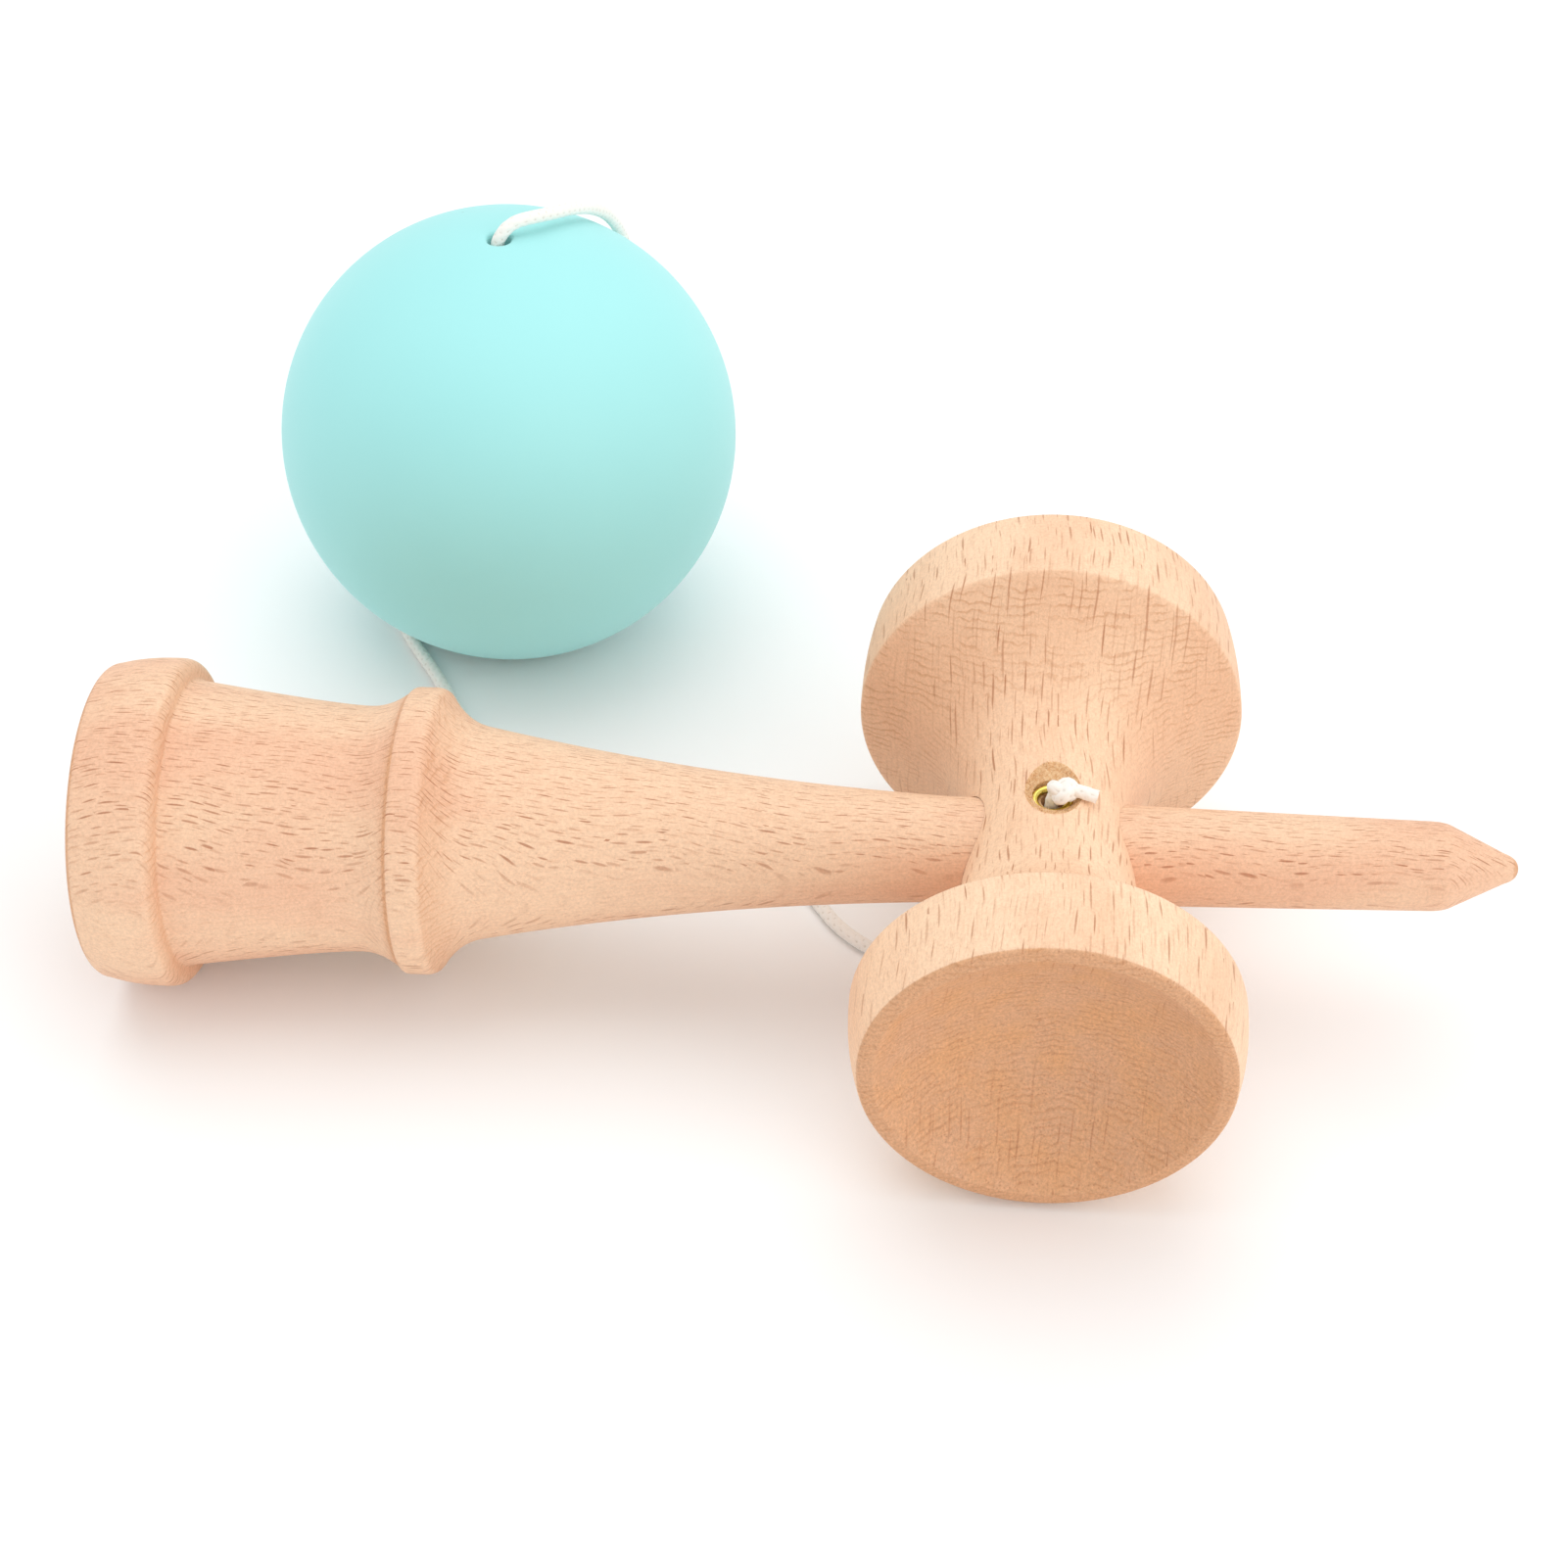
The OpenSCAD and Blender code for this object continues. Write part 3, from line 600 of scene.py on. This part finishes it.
    # The colours, one over the other: where, how strongly, and which
    ring_strength = add(tree, "ShaderNodeMath", {0: flare, 1: 0.38, 2: 0.1}, operation="MULTIPLY_ADD")
    ring_strength = add(tree, "ShaderNodeMath", {0: cup, 1: 0.42, 2: ring_strength},
                        operation="MULTIPLY_ADD")
    pore_strength = add(tree, "ShaderNodeMath", {0: cup, 1: 0.35, 2: 0.16}, operation="MULTIPLY_ADD")
    colour = srgb(colours["pale"])
    for where, strength, which in (
            (patch, 1.0, "pink"), (flare, 0.35, "end"), (inside, 1.0, "end"), (blotch, 0.55, "warm"),
            (rim, 0.7, "rim"), (late, ring_strength, "ring"), (dark_fibre, 0.28, "ring"),
            (pores, pore_strength, "fleck"), (fleck, 0.74, "fleck")):
        amount = add(tree, "ShaderNodeMath", {0: where, 1: strength}, operation="MULTIPLY")
        colour = add(tree, "ShaderNodeMix", {"Factor": amount, "A": colour, "B": srgb(colours[which])},
                     data_type="RGBA").outputs["Result"]
    grit_light = add(tree, "ShaderNodeMapRange", {"Value": grit, "From Min": 0.3, "From Max": 0.75,
                                                 "To Min": -0.5, "To Max": 0.5})
    grit_strength = add(tree, "ShaderNodeMath", {0: cup, 1: 0.16, 2: 0.22}, operation="MULTIPLY_ADD")
    light = add(tree, "ShaderNodeMath", {0: grit_light, 1: grit_strength, 2: 1.0}, operation="MULTIPLY_ADD")
    colour = add(tree, "ShaderNodeVectorMath", {0: colour, "Scale": light}, operation="SCALE")

    relief = add(tree, "ShaderNodeMath", {0: pores, 1: -0.6, 2: fibre}, operation="MULTIPLY_ADD")
    relief = add(tree, "ShaderNodeMath", {0: fleck, 1: -0.5, 2: relief}, operation="MULTIPLY_ADD")
    relief = add(tree, "ShaderNodeMath", {0: cup_grit, 1: 1.6, 2: relief}, operation="MULTIPLY_ADD")
    bump = add(tree, "ShaderNodeBump", {"Height": relief, "Strength": 0.5, "Distance": 0.08 * MM})
    roughness = add(tree, "ShaderNodeMapRange", {"Value": fibre, "To Min": 0.5, "To Max": 0.68})
    shader = add(tree, "ShaderNodeBsdfPrincipled", {
        "Base Color": colour, "Roughness": roughness, "Normal": bump, "Specular IOR Level": 0.35})
    add(tree, "ShaderNodeOutputMaterial", {"Surface": shader})
    return material


def raw_beech(name, dark, pale):
    """Beech as the drill leaves it: torn, fuzzy and darker than the sanded faces."""
    material, tree = empty_material(name)
    place = add(tree, "ShaderNodeTexCoord").outputs["Object"]
    fuzz = add(tree, "ShaderNodeTexNoise", {"Vector": place, "Scale": 1 / (0.35 * MM), "Detail": 5.0,
                                           "Roughness": 0.75, "Distortion": 0.5}).outputs["Fac"]
    shreds = add(tree, "ShaderNodeMapRange", {"Value": fuzz, "From Min": 0.35, "From Max": 0.68})
    colour = add(tree, "ShaderNodeMix", {"Factor": shreds, "A": srgb(dark), "B": srgb(pale)},
                 data_type="RGBA").outputs["Result"]
    bump = add(tree, "ShaderNodeBump", {"Height": fuzz, "Strength": 0.8, "Distance": 0.25 * MM})
    shader = add(tree, "ShaderNodeBsdfPrincipled", {
        "Base Color": colour, "Roughness": 0.85, "Normal": bump, "Specular IOR Level": 0.2})
    add(tree, "ShaderNodeOutputMaterial", {"Surface": shader})
    return material


handle_beech = beech(
    "sanded_beech_handle", laid.translation, along_handle, cups_up,
    rims=((SPIKE_REACH - BASE_REACH) / 2, (SPIKE_REACH + BASE_REACH) / 2),
    fleck_gap=(2.2, 0.62), fleck_size=(2.1, 0.16),
    colours={"pale": "#F1CBAA", "pink": "#EBBB9B", "end": "#DDAB86", "warm": "#E0A97B", "rim": "#D9A680",
             "ring": "#D0976F", "fleck": "#A15A33"})
torn_beech = raw_beech("drilled_beech", "#D9A06C", "#FFDDB0")

handle = turned("handle", handle_outline, handle_beech, laid)
string_bore = [(-SEAT_IN_R - 2, 0), (-SEAT_IN_R - 2, STRING_HOLE_R), (SEAT_IN_R + 2, STRING_HOLE_R),
               (SEAT_IN_R + 2, 0)]
handle = drilled(handle, turned("drill", string_bore, torn_beech, laid @ to_up, 32))
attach(handle, "ken_and_cups")
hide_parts("ken")

# --- Cup piece ------------------------------------------------------------------------
# The sarado: beech turned to a waist between a small and a big cup, pushed on to the
# handle's taper. A drilled hollow on top of the waist takes the string's ring and knot.
HALF_L = 35.4
SMALL_R, SMALL_BAND, SMALL_DEPTH, SMALL_NARROWING = 21.75, 10.3, 8.5, 1.4
BIG_R, BIG_BAND, BIG_DEPTH, BIG_NARROWING = 23.0, 12.1, 10.0, 0.9
CUP_RIM_W, CUP_RIM_ROUND = 1.6, 0.9
DRILL_HALF_ANGLE = math.radians(118 / 2)
SINK_SLOPE = math.tan(DRILL_HALF_ANGLE)
SINK_R, RING_DEPTH, RING_R, RING_WIRE_R = 4.2, 2.0, 2.45, 0.45
SINK_RIGHT, SINK_BACK = 0.25, 0.45
sink_tip = NECK_R - SINK_R / SINK_SLOPE
ring_seat = NECK_R - RING_DEPTH


def waist(t, wide_r):
    """Radius of the waist's flare at a share t of the way from the crossing to the band."""
    return NECK_R + (wide_r - NECK_R) * t ** 3


def cup_end(wide_r, narrowing, width, depth):
    """Outline of one end, from the middle of its hollow out and back to the crossing."""
    edge = HALF_L - width
    lip = wide_r - narrowing - CUP_RIM_W
    flare = [(edge * t, waist(t, wide_r)) for t in (1 - k / 40 for k in range(1, 41))]
    break_edge = bend((edge + 0.35, wide_r), (edge, wide_r), flare[0], 5)
    return (hollow(lip, depth, HALF_L) + [(HALF_L, lip + 0.25)]
            + band(edge + 0.35, HALF_L, wide_r, narrowing, CUP_RIM_ROUND) + break_edge[1:] + flare[1:])


cups_outline = without_doubles(
    cup_end(BIG_R, BIG_NARROWING, BIG_BAND, BIG_DEPTH)
    + mirrored(cup_end(SMALL_R, SMALL_NARROWING, SMALL_BAND, SMALL_DEPTH))[-2::-1])
cups_beech = beech(
    "sanded_beech_cups", laid.translation, along_cups, cups_up,
    rims=(0.0, HALF_L), fleck_gap=(4.2, 1.15), fleck_size=(3.6, 0.24),
    colours={"pale": "#F9D4B2", "pink": "#F2C7A4", "end": "#DAA983", "warm": "#E2A873", "rim": "#D39D74",
             "ring": "#C48C61", "fleck": "#A8663E"})

cups = turned("cup_piece", cups_outline, cups_beech, to_cups)
taper_bore = [(-SEAT_HALF - 4, 0), (-SEAT_HALF - 4, SEAT_IN_R + 0.2), (SEAT_HALF + 4, SEAT_OUT_R - 0.08),
              (SEAT_HALF + 4, 0)]
cups = drilled(cups, turned("drill", taper_bore, torn_beech, laid, 96))
DRILL_R = 8.0
cone_meets_seat = sink_tip + (RING_R + 0.05) / SINK_SLOPE
sink_bore = [(-NECK_R - 2, 0), (-NECK_R - 2, STRING_HOLE_R), (ring_seat, STRING_HOLE_R),
             (ring_seat, RING_R + 0.05), (cone_meets_seat, RING_R + 0.05),
             (sink_tip + DRILL_R / SINK_SLOPE, DRILL_R), (sink_tip + DRILL_R / SINK_SLOPE, 0)]
sink_place = laid @ Matrix.Translation(Vector((SINK_RIGHT, SINK_BACK, 0)) * MM) @ to_up
cups = drilled(cups, turned("drill", sink_bore, torn_beech, sink_place, 96))
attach(cups, "ken_and_cups")
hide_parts("sarado")

# --- Torn fibres round the hollow ---------------------------------------------------------
# Thin wood fibres stand round the edge of the drilled hollow, where the drill came through
# the side grain and tore it. They are part of the cup piece, but too thin to be turned.


def sink_edge(turn, inset):
    """A point of the hollow's wall, a little below its edge, at that turn round the hollow."""
    out, height = SINK_R, NECK_R
    for _ in range(12):
        x, y = out * math.cos(turn), out * math.sin(turn)
        side = waist(abs(y + SINK_BACK) / (HALF_L - BIG_BAND), BIG_R)
        height = math.sqrt(side ** 2 - (x + SINK_RIGHT) ** 2)
        out = (height - sink_tip) * SINK_SLOPE
    out -= inset * math.sin(DRILL_HALF_ANGLE)
    height -= inset * math.cos(DRILL_HALF_ANGLE)
    return Vector((out * math.cos(turn) + SINK_RIGHT, out * math.sin(turn) + SINK_BACK, height))


def torn_fibres():
    """Scatters thin fibres over a strip, leaning every way, with a fixed seed."""
    tree, given = node_tree("torn_fibres", {"Density": "Float", "Length": "Float", "Seed": "Int"})
    spots = add(tree, "GeometryNodeDistributePointsOnFaces", {
        "Mesh": given["Geometry"], "Density": given["Density"], "Seed": given["Seed"]}).outputs
    fibre = add(tree, "GeometryNodeMeshCone", {
        "Vertices": 4, "Radius Top": 0.015 * MM, "Radius Bottom": 0.06 * MM, "Depth": given["Length"]})
    lean = add(tree, "FunctionNodeRandomValue", {"Min": (-1.1, -1.1, 0), "Max": (1.1, 1.1, 6.28),
                                                "Seed": given["Seed"]}, data_type="FLOAT_VECTOR")
    size = add(tree, "FunctionNodeRandomValue", {2: 0.4, 3: 1.0, "Seed": given["Seed"]}, data_type="FLOAT")
    placed = add(tree, "GeometryNodeInstanceOnPoints", {
        "Points": spots["Points"], "Instance": fibre.outputs["Mesh"], "Rotation": lean,
        "Scale": size.outputs[1]})
    real = add(tree, "GeometryNodeRealizeInstances", {0: placed})
    coated = add(tree, "GeometryNodeSetMaterial", {"Geometry": real,
                                                   "Material": given["Material"]})
    add(tree, "NodeGroupOutput", {0: coated})
    return tree


strip = bpy.data.meshes.new("strip")
STRIP_STEPS = 72
turns = [2 * math.pi * k / STRIP_STEPS for k in range(STRIP_STEPS)]
strip.from_pydata([laid @ (sink_edge(t, inset) * MM) for inset in (0.05, 0.9) for t in turns], [],
                  [(k, (k + 1) % STRIP_STEPS, STRIP_STEPS + (k + 1) % STRIP_STEPS, STRIP_STEPS + k)
                   for k in range(STRIP_STEPS)])
fibres = made_by_nodes("torn_fibres", strip, torn_fibres(), {
    "Density": 9.0e6, "Length": 0.7 * MM, "Seed": 5,
    "Material": raw_beech("torn_fibre", "#E3AF78", "#FFE6C4")})
shaded(fibres)
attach(fibres, "ken_and_cups")

# --- Brass ring -----------------------------------------------------------------------
# A small ring of brass wire lies on its seat in the drilled hollow, so that the knot does
# not wear its way into the wood.


def brass():
    """Polished yellow brass: bright, with a faintly drawn surface and browner hollows."""
    material, tree = empty_material("polished_brass")
    place = add(tree, "ShaderNodeTexCoord").outputs["Object"]
    drawn = add(tree, "ShaderNodeTexNoise", {"Vector": place, "Scale": 1 / (0.25 * MM), "Detail": 3.0})
    gloss = add(tree, "ShaderNodeMapRange", {"Value": drawn.outputs["Fac"], "To Min": 0.16,
                                            "To Max": 0.34})
    colour = add(tree, "ShaderNodeMix", {"Factor": drawn.outputs["Fac"], "A": srgb("#F3E382"),
                                         "B": srgb("#D9C455")}, data_type="RGBA").outputs["Result"]
    shader = add(tree, "ShaderNodeBsdfPrincipled", {"Base Color": colour, "Roughness": gloss,
                                                   "Metallic": 1.0})
    add(tree, "ShaderNodeOutputMaterial", {"Surface": shader})
    return material


wire_turns = [2 * math.pi * k / 20 for k in range(21)]
ring_outline = [(ring_seat + RING_WIRE_R + 0.01 - RING_WIRE_R * math.cos(a),
                 RING_R - RING_WIRE_R + RING_WIRE_R * math.sin(a)) for a in wire_turns]
ring = turned("brass_ring_wire", ring_outline, brass(), laid @ to_up, 64)
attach(ring, "ken_and_cups")
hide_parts("brass_ring")

# --- Knot on the ring -----------------------------------------------------------------
# The string comes up through both wooden pieces and is tied in a tight knot on the ring;
# its cut end sticks out to the side.
KNOT_THREAD_R = 0.8


def knotted(centre, size):
    """Line of a tight overhand knot round a centre."""
    turns = [2 * math.pi * k / 72 for k in range(73)]
    return [centre + Vector((size[0] * (math.sin(t) + 2 * math.sin(2 * t)),
                             size[1] * (math.cos(t) - 2 * math.cos(2 * t)), -size[2] * math.sin(3 * t)))
            for t in turns]


def in_toy(line):
    """A line given along the cup piece's and the handle's axes, as it lies on the ground."""
    return [(laid @ (p * MM)) / MM for p in line]


knot_centre = Vector((1.2, -0.4, ring_seat + 2 * RING_WIRE_R + 1.55))
shank = [Vector((0, 0, z)) for z in (-NECK_R, -5, 0, 5, 8)] + [knot_centre + Vector((-0.6, 0.2, 0))]
tail = [knot_centre + Vector(p)
        for p in ((0.2, 0.1, 0.1), (1.6, 0.1, 0.0), (2.8, -0.1, -0.25), (3.9, -0.3, -0.5))]
top_knot = braided_tube("knot_on_ring", [in_toy(even_steps(smooth_through(shank, 8), 0.35)),
                                        in_toy(even_steps(knotted(knot_centre, (0.4, 0.33, 0.5)), 0.3)),
                                        in_toy(even_steps(smooth_through(tail, 8), 0.3))],
                        KNOT_THREAD_R, cotton)
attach(top_knot, "ken_and_cups")
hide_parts("sarado_knot")

# --- Ball -----------------------------------------------------------------------------
# The tama: beech turned to a ball of 60 mm, with a big hole for the spike and a small one
# for the string, and sprayed with a matt rubbery mint paint. Its holes are bare wood.
BALL_R, BIG_HOLE_R, BIG_HOLE_DEPTH, BEVEL = 30.0, 11.25, 26.0, 0.6
POCKET_R, POCKET_H, DRILL_CONE_H = 5.5, 11.0, 6.0
mouth_r = BIG_HOLE_R + BEVEL
ball_z = math.sqrt(BALL_R ** 2 - mouth_r ** 2)
ceiling = BIG_HOLE_DEPTH + DRILL_CONE_H + POCKET_H


def rubbery_paint():
    """Matt soft-touch paint: an even mint colour with a faint orange peel and a few specks."""
    material, tree = empty_material("mint_rubber_paint")
    place = add(tree, "ShaderNodeTexCoord").outputs["Object"]
    peel = add(tree, "ShaderNodeTexNoise", {"Vector": place, "Scale": 1 / (0.5 * MM), "Detail": 2.0})
    cloud = add(tree, "ShaderNodeTexNoise", {"Vector": place, "Scale": 1 / (22 * MM), "Detail": 2.0})
    dust = add(tree, "ShaderNodeTexVoronoi", {"Vector": place, "Scale": 1 / (4.5 * MM)}).outputs
    speck = add(tree, "ShaderNodeMapRange", {"Value": dust["Distance"], "From Min": 0.05,
                                            "From Max": 0.03})
    chance = add(tree, "ShaderNodeSeparateColor", {0: dust["Color"]}).outputs["Red"]
    chosen = add(tree, "ShaderNodeMath", {0: chance, 1: 0.78}, operation="GREATER_THAN")
    speck = add(tree, "ShaderNodeMath", {0: speck, 1: chosen}, operation="MULTIPLY")
    speck = add(tree, "ShaderNodeMath", {0: speck, 1: 0.35}, operation="MULTIPLY")
    colour = add(tree, "ShaderNodeMix", {"Factor": cloud.outputs["Fac"], "A": srgb("#A7E8E7"),
                                         "B": srgb("#A1E4E4")}, data_type="RGBA").outputs["Result"]
    colour = add(tree, "ShaderNodeMix", {"Factor": speck, "A": colour, "B": srgb("#6FA3A0")},
                 data_type="RGBA").outputs["Result"]
    gloss = add(tree, "ShaderNodeMapRange", {"Value": peel.outputs["Fac"], "To Min": 0.55,
                                            "To Max": 0.68})
    bump = add(tree, "ShaderNodeBump", {"Height": peel.outputs["Fac"], "Strength": 0.15,
                                        "Distance": 0.05 * MM})
    shader = add(tree, "ShaderNodeBsdfPrincipled", {
        "Base Color": colour, "Roughness": gloss, "Normal": bump, "Sheen Weight": 0.15,
        "Sheen Roughness": 0.5, "Specular IOR Level": 0.3})
    add(tree, "ShaderNodeOutputMaterial", {"Surface": shader})
    return material


first = math.asin(mouth_r / BALL_R)
last = math.pi - math.asin((STRING_HOLE_R + 0.5) / BALL_R)
top_lip = ball_z - BALL_R * math.cos(last)
skin_line = [(ball_z - BALL_R * math.cos(a), BALL_R * math.sin(a))
             for a in (first + (last - first) * k / 110 for k in range(111))]
ball_outline = (
    [(0.0, mouth_r)] + skin_line[1:]
    + bend(skin_line[-1], (top_lip - 0.1, STRING_HOLE_R), (top_lip - 0.8, STRING_HOLE_R), 8)[1:]
    + [(ceiling + 6, STRING_HOLE_R), (ceiling, STRING_HOLE_R), (ceiling, POCKET_R)]
    + [(BIG_HOLE_DEPTH + DRILL_CONE_H, POCKET_R), (BIG_HOLE_DEPTH, BIG_HOLE_R)]
    + [(z, BIG_HOLE_R) for z in (20, 14, 8, 3, BEVEL)] + [(0.0, mouth_r)])
ball_place = Matrix.Translation(ball_axis * MM) @ to_up
ball = turned("ball", ball_outline, rubbery_paint(), ball_place, 160)
ball.data.materials.append(torn_beech)
ball_middle = (ball_axis + Vector((0, 0, ball_z))) * MM
for wall in ball.data.polygons:
    if (wall.center - ball_middle).length < (BALL_R - 0.12) * MM:
        wall.material_index = 1
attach(ball, "ball")
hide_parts("tama")

# --- Bead inside the ball ---------------------------------------------------------------
# A small wooden bead sits under the ceiling of the ball's pocket; the string goes through
# it and ends in a knot below, which holds the ball.
BEAD_R, BEAD_H, BEAD_HOLE_R, BEAD_CLEARANCE, BEAD_EDGE = 4.5, 6.0, 1.2, 0.4, 0.9
bead_top = ceiling - BEAD_CLEARANCE
bead_foot = bead_top - BEAD_H
bead_outline = (
    bend((bead_foot, BEAD_R - BEAD_EDGE), (bead_foot, BEAD_R), (bead_foot + BEAD_EDGE, BEAD_R), 8)
    + bend((bead_top - BEAD_EDGE, BEAD_R), (bead_top, BEAD_R), (bead_top, BEAD_R - BEAD_EDGE), 8)
    + [(bead_top, BEAD_HOLE_R), (bead_foot, BEAD_HOLE_R), (bead_foot, BEAD_R - BEAD_EDGE)])
bead_beech = beech(
    "turned_bead_beech", (ball_axis + Vector((0, 0, bead_foot))) * MM, Vector((0, 0, 1)), Vector((0, 1, 0)),
    rims=(BEAD_H / 2, BEAD_H / 2), fleck_gap=(2.5, 0.72), fleck_size=(1.9, 0.2),
    colours={"pale": "#F0D0A8", "pink": "#E6BF95", "end": "#D2A47A", "warm": "#D8A473", "rim": "#CFA078",
             "ring": "#CC9A70", "fleck": "#9C663F"})
bead = turned("bead", bead_outline, bead_beech, ball_place, 64)
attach(bead, "string_end")
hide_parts("tama_bead")

# --- Knot under the bead ------------------------------------------------------------------
# The end of the same braided string, tied in a tight knot under the bead inside the ball. The
# string goes up from it through the bead and meets the free cord in the ball's top hole.
low_knot_centre = ball_axis + Vector((0, 0, bead_foot - 1.35))
low_shank = [ball_axis + Vector((0, 0, z))
             for z in (bead_foot - 0.8, bead_foot + 3, bead_top, bead_top + 5.4, bead_top + 8.4)]
low_shank.append(string_line[-1])
low_tail = [low_knot_centre + Vector(p) for p in ((0, 0.2, 0), (0.5, 0.6, -1.0), (0.8, 0.8, -1.7))]
low_knot = braided_tube("knot_in_ball", [even_steps(smooth_through(low_shank, 8), 0.4),
                                        even_steps(knotted(low_knot_centre, (0.4, 0.4, 0.5)), 0.3),
                                        even_steps(smooth_through(low_tail, 8), 0.3)],
                        KNOT_THREAD_R, cotton)
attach(low_knot, "string_end")
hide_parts("bead_knot")

# --- Thread round the coil --------------------------------------------------------------
# A few turns of thin cotton thread hold the coil of slack string together for storage,
# knotted on top.
TIE_TURNS, TIE_GAP, TIE_THREAD_R = 5, 0.5, 0.24


def binding():
    """Sets copies of one thread loop side by side, each leaning a little its own way."""
    tree, given = node_tree("thread_binding", {"Turns": "Int", "Gap": "Float", "Seed": "Int"})
    step = add(tree, "ShaderNodeCombineXYZ", {"X": given["Gap"]})
    half = add(tree, "ShaderNodeMath", {0: given["Turns"], 1: -0.5, 2: 0.5}, operation="MULTIPLY_ADD")
    start = add(tree, "ShaderNodeVectorMath", {0: step, "Scale": half}, operation="SCALE")
    spots = add(tree, "GeometryNodeMeshLine", {"Count": given["Turns"],
                                               "Start Location": start, "Offset": step})
    lean = add(tree, "FunctionNodeRandomValue", {"Min": (0, -0.1, -0.12), "Max": (0, 0.1, 0.12),
                                                "Seed": given["Seed"]}, data_type="FLOAT_VECTOR")
    placed = add(tree, "GeometryNodeInstanceOnPoints", {
        "Points": spots, "Instance": given["Geometry"], "Rotation": lean})
    real = add(tree, "GeometryNodeRealizeInstances", {0: placed})
    coated = add(tree, "GeometryNodeSetMaterial", {"Geometry": real,
                                                   "Material": given["Material"]})
    add(tree, "NodeGroupOutput", {0: coated})
    return tree


def twisted_thread():
    """Twisted cotton thread, a little creamier than the string, with painted shade in the grooves between
    its plies.
    """
    material, tree = empty_material("twisted_thread")
    place = add(tree, "ShaderNodeTexCoord").outputs["Object"]
    ply_and_groove_shade = add(tree, "ShaderNodeTexWave", {"Vector": place, "Scale": 1 / (2.2 * MM), "Distortion": 1.5},
              bands_direction="DIAGONAL").outputs["Fac"]
    # Painted shade: the grooves between the plies are darker and their crests lighter, along the same bands
    # as the bump.
    colour = add(tree, "ShaderNodeMix", {"Factor": ply_and_groove_shade, "A": srgb("#CFC6B6"), "B": srgb("#F0EADF")},
                 data_type="RGBA").outputs["Result"]
    bump = add(tree, "ShaderNodeBump", {"Height": ply_and_groove_shade, "Strength": 0.5, "Distance": 0.06 * MM})
    shader = add(tree, "ShaderNodeBsdfPrincipled", {
        "Base Color": colour, "Roughness": 0.85, "Normal": bump, "Sheen Weight": 0.2,
        "Specular IOR Level": 0.3})
    add(tree, "ShaderNodeOutputMaterial", {"Surface": shader})
    return material


def plain_tube(line, radius, sides=8):
    """Closed ring of tube along a closed line."""
    count, verts = len(line), []
    for i, centre in enumerate(line):
        heading = (line[(i + 1) % count] - line[i - 1]).normalized()
        side = Vector((1, 0, 0))
        across = heading.cross(side)
        verts += [(centre + radius * (math.cos(a) * side + math.sin(a) * across)) * MM
                  for a in (2 * math.pi * k / sides for k in range(sides))]
    walls = [(i * sides + k, i * sides + (k + 1) % sides, (i + 1) % count * sides + (k + 1) % sides,
              (i + 1) % count * sides + k) for i in range(count) for k in range(sides)]
    mesh = bpy.data.meshes.new("loop")
    mesh.from_pydata(verts, [], walls)
    return mesh


# Section of the bundle at the tie: from inside to outside of the coil, and up
bundle_in, bundle_out, bundle_top = 7.0, 11.1, 3.5
loop_line = []
for k in range(40):
    turn = 2 * math.pi * k / 40
    wide = (bundle_out - bundle_in) / 2 - TIE_THREAD_R
    high = bundle_top / 2 - TIE_THREAD_R
    flat_y = math.copysign(abs(math.cos(turn)) ** 0.6, math.cos(turn))
    flat_z = math.copysign(abs(math.sin(turn)) ** 0.6, math.sin(turn))
    loop_line.append(Vector((0, (bundle_in + bundle_out) / 2 + wide * flat_y,
                             bundle_top / 2 + 0.02 + high * flat_z)))
tie = made_by_nodes("coil_thread", plain_tube(loop_line, TIE_THREAD_R), binding(), {
    "Turns": TIE_TURNS, "Gap": TIE_GAP * MM, "Seed": 3, "Material": twisted_thread()})
tie.data.transform(Matrix.Translation((ball_axis + coil_centre) * MM))
shaded(tie)
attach(tie, "ken_and_cups")
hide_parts("coil_tie")

# --- Floor and light --------------------------------------------------------------------
# A plain white table top under an even white sky, with a wide, soft light from above and
# another from the front right.


def floor_paint():
    """Matt white board, which shows nothing but the soft shadows."""
    material, tree = empty_material("white_floor")
    shader = add(tree, "ShaderNodeBsdfPrincipled", {"Base Color": srgb("#FAFAFA"), "Roughness": 0.9,
                                                   "Specular IOR Level": 0.1})
    add(tree, "ShaderNodeOutputMaterial", {"Surface": shader})
    return material


floor_mesh = bpy.data.meshes.new("floor")
floor_mesh.from_pydata([(-4, -4, 0), (4, -4, 0), (4, 4, 0), (-4, 4, 0)], [], [(0, 1, 2, 3)])
floor_mesh.materials.append(floor_paint())
floor = bpy.data.objects.new("floor", floor_mesh)
scene.collection.objects.link(floor)

sky = bpy.data.worlds.new("soft_sky")
sky.use_nodes = True
sky.node_tree.nodes["Background"].inputs["Color"].default_value = srgb("#FFFFFF")
sky.node_tree.nodes["Background"].inputs["Strength"].default_value = 0.87
scene.world = sky
scene.view_settings.view_transform = "Standard"


def soft_light(name, place, size, power):
    """A square light that looks at the middle of the toy."""
    lamp = bpy.data.lights.new(name, "AREA")
    lamp.size = size
    lamp.energy = power
    light = bpy.data.objects.new(name, lamp)
    light.location = place
    light.rotation_euler = (-Vector(place)).to_track_quat("-Z", "Y").to_euler()
    scene.collection.objects.link(light)


soft_light("overhead", (-0.1, 0.3, 1.1), 1.2, 4.8)
soft_light("front", (1.2, -0.75, 0.6), 1.2, 5.2)
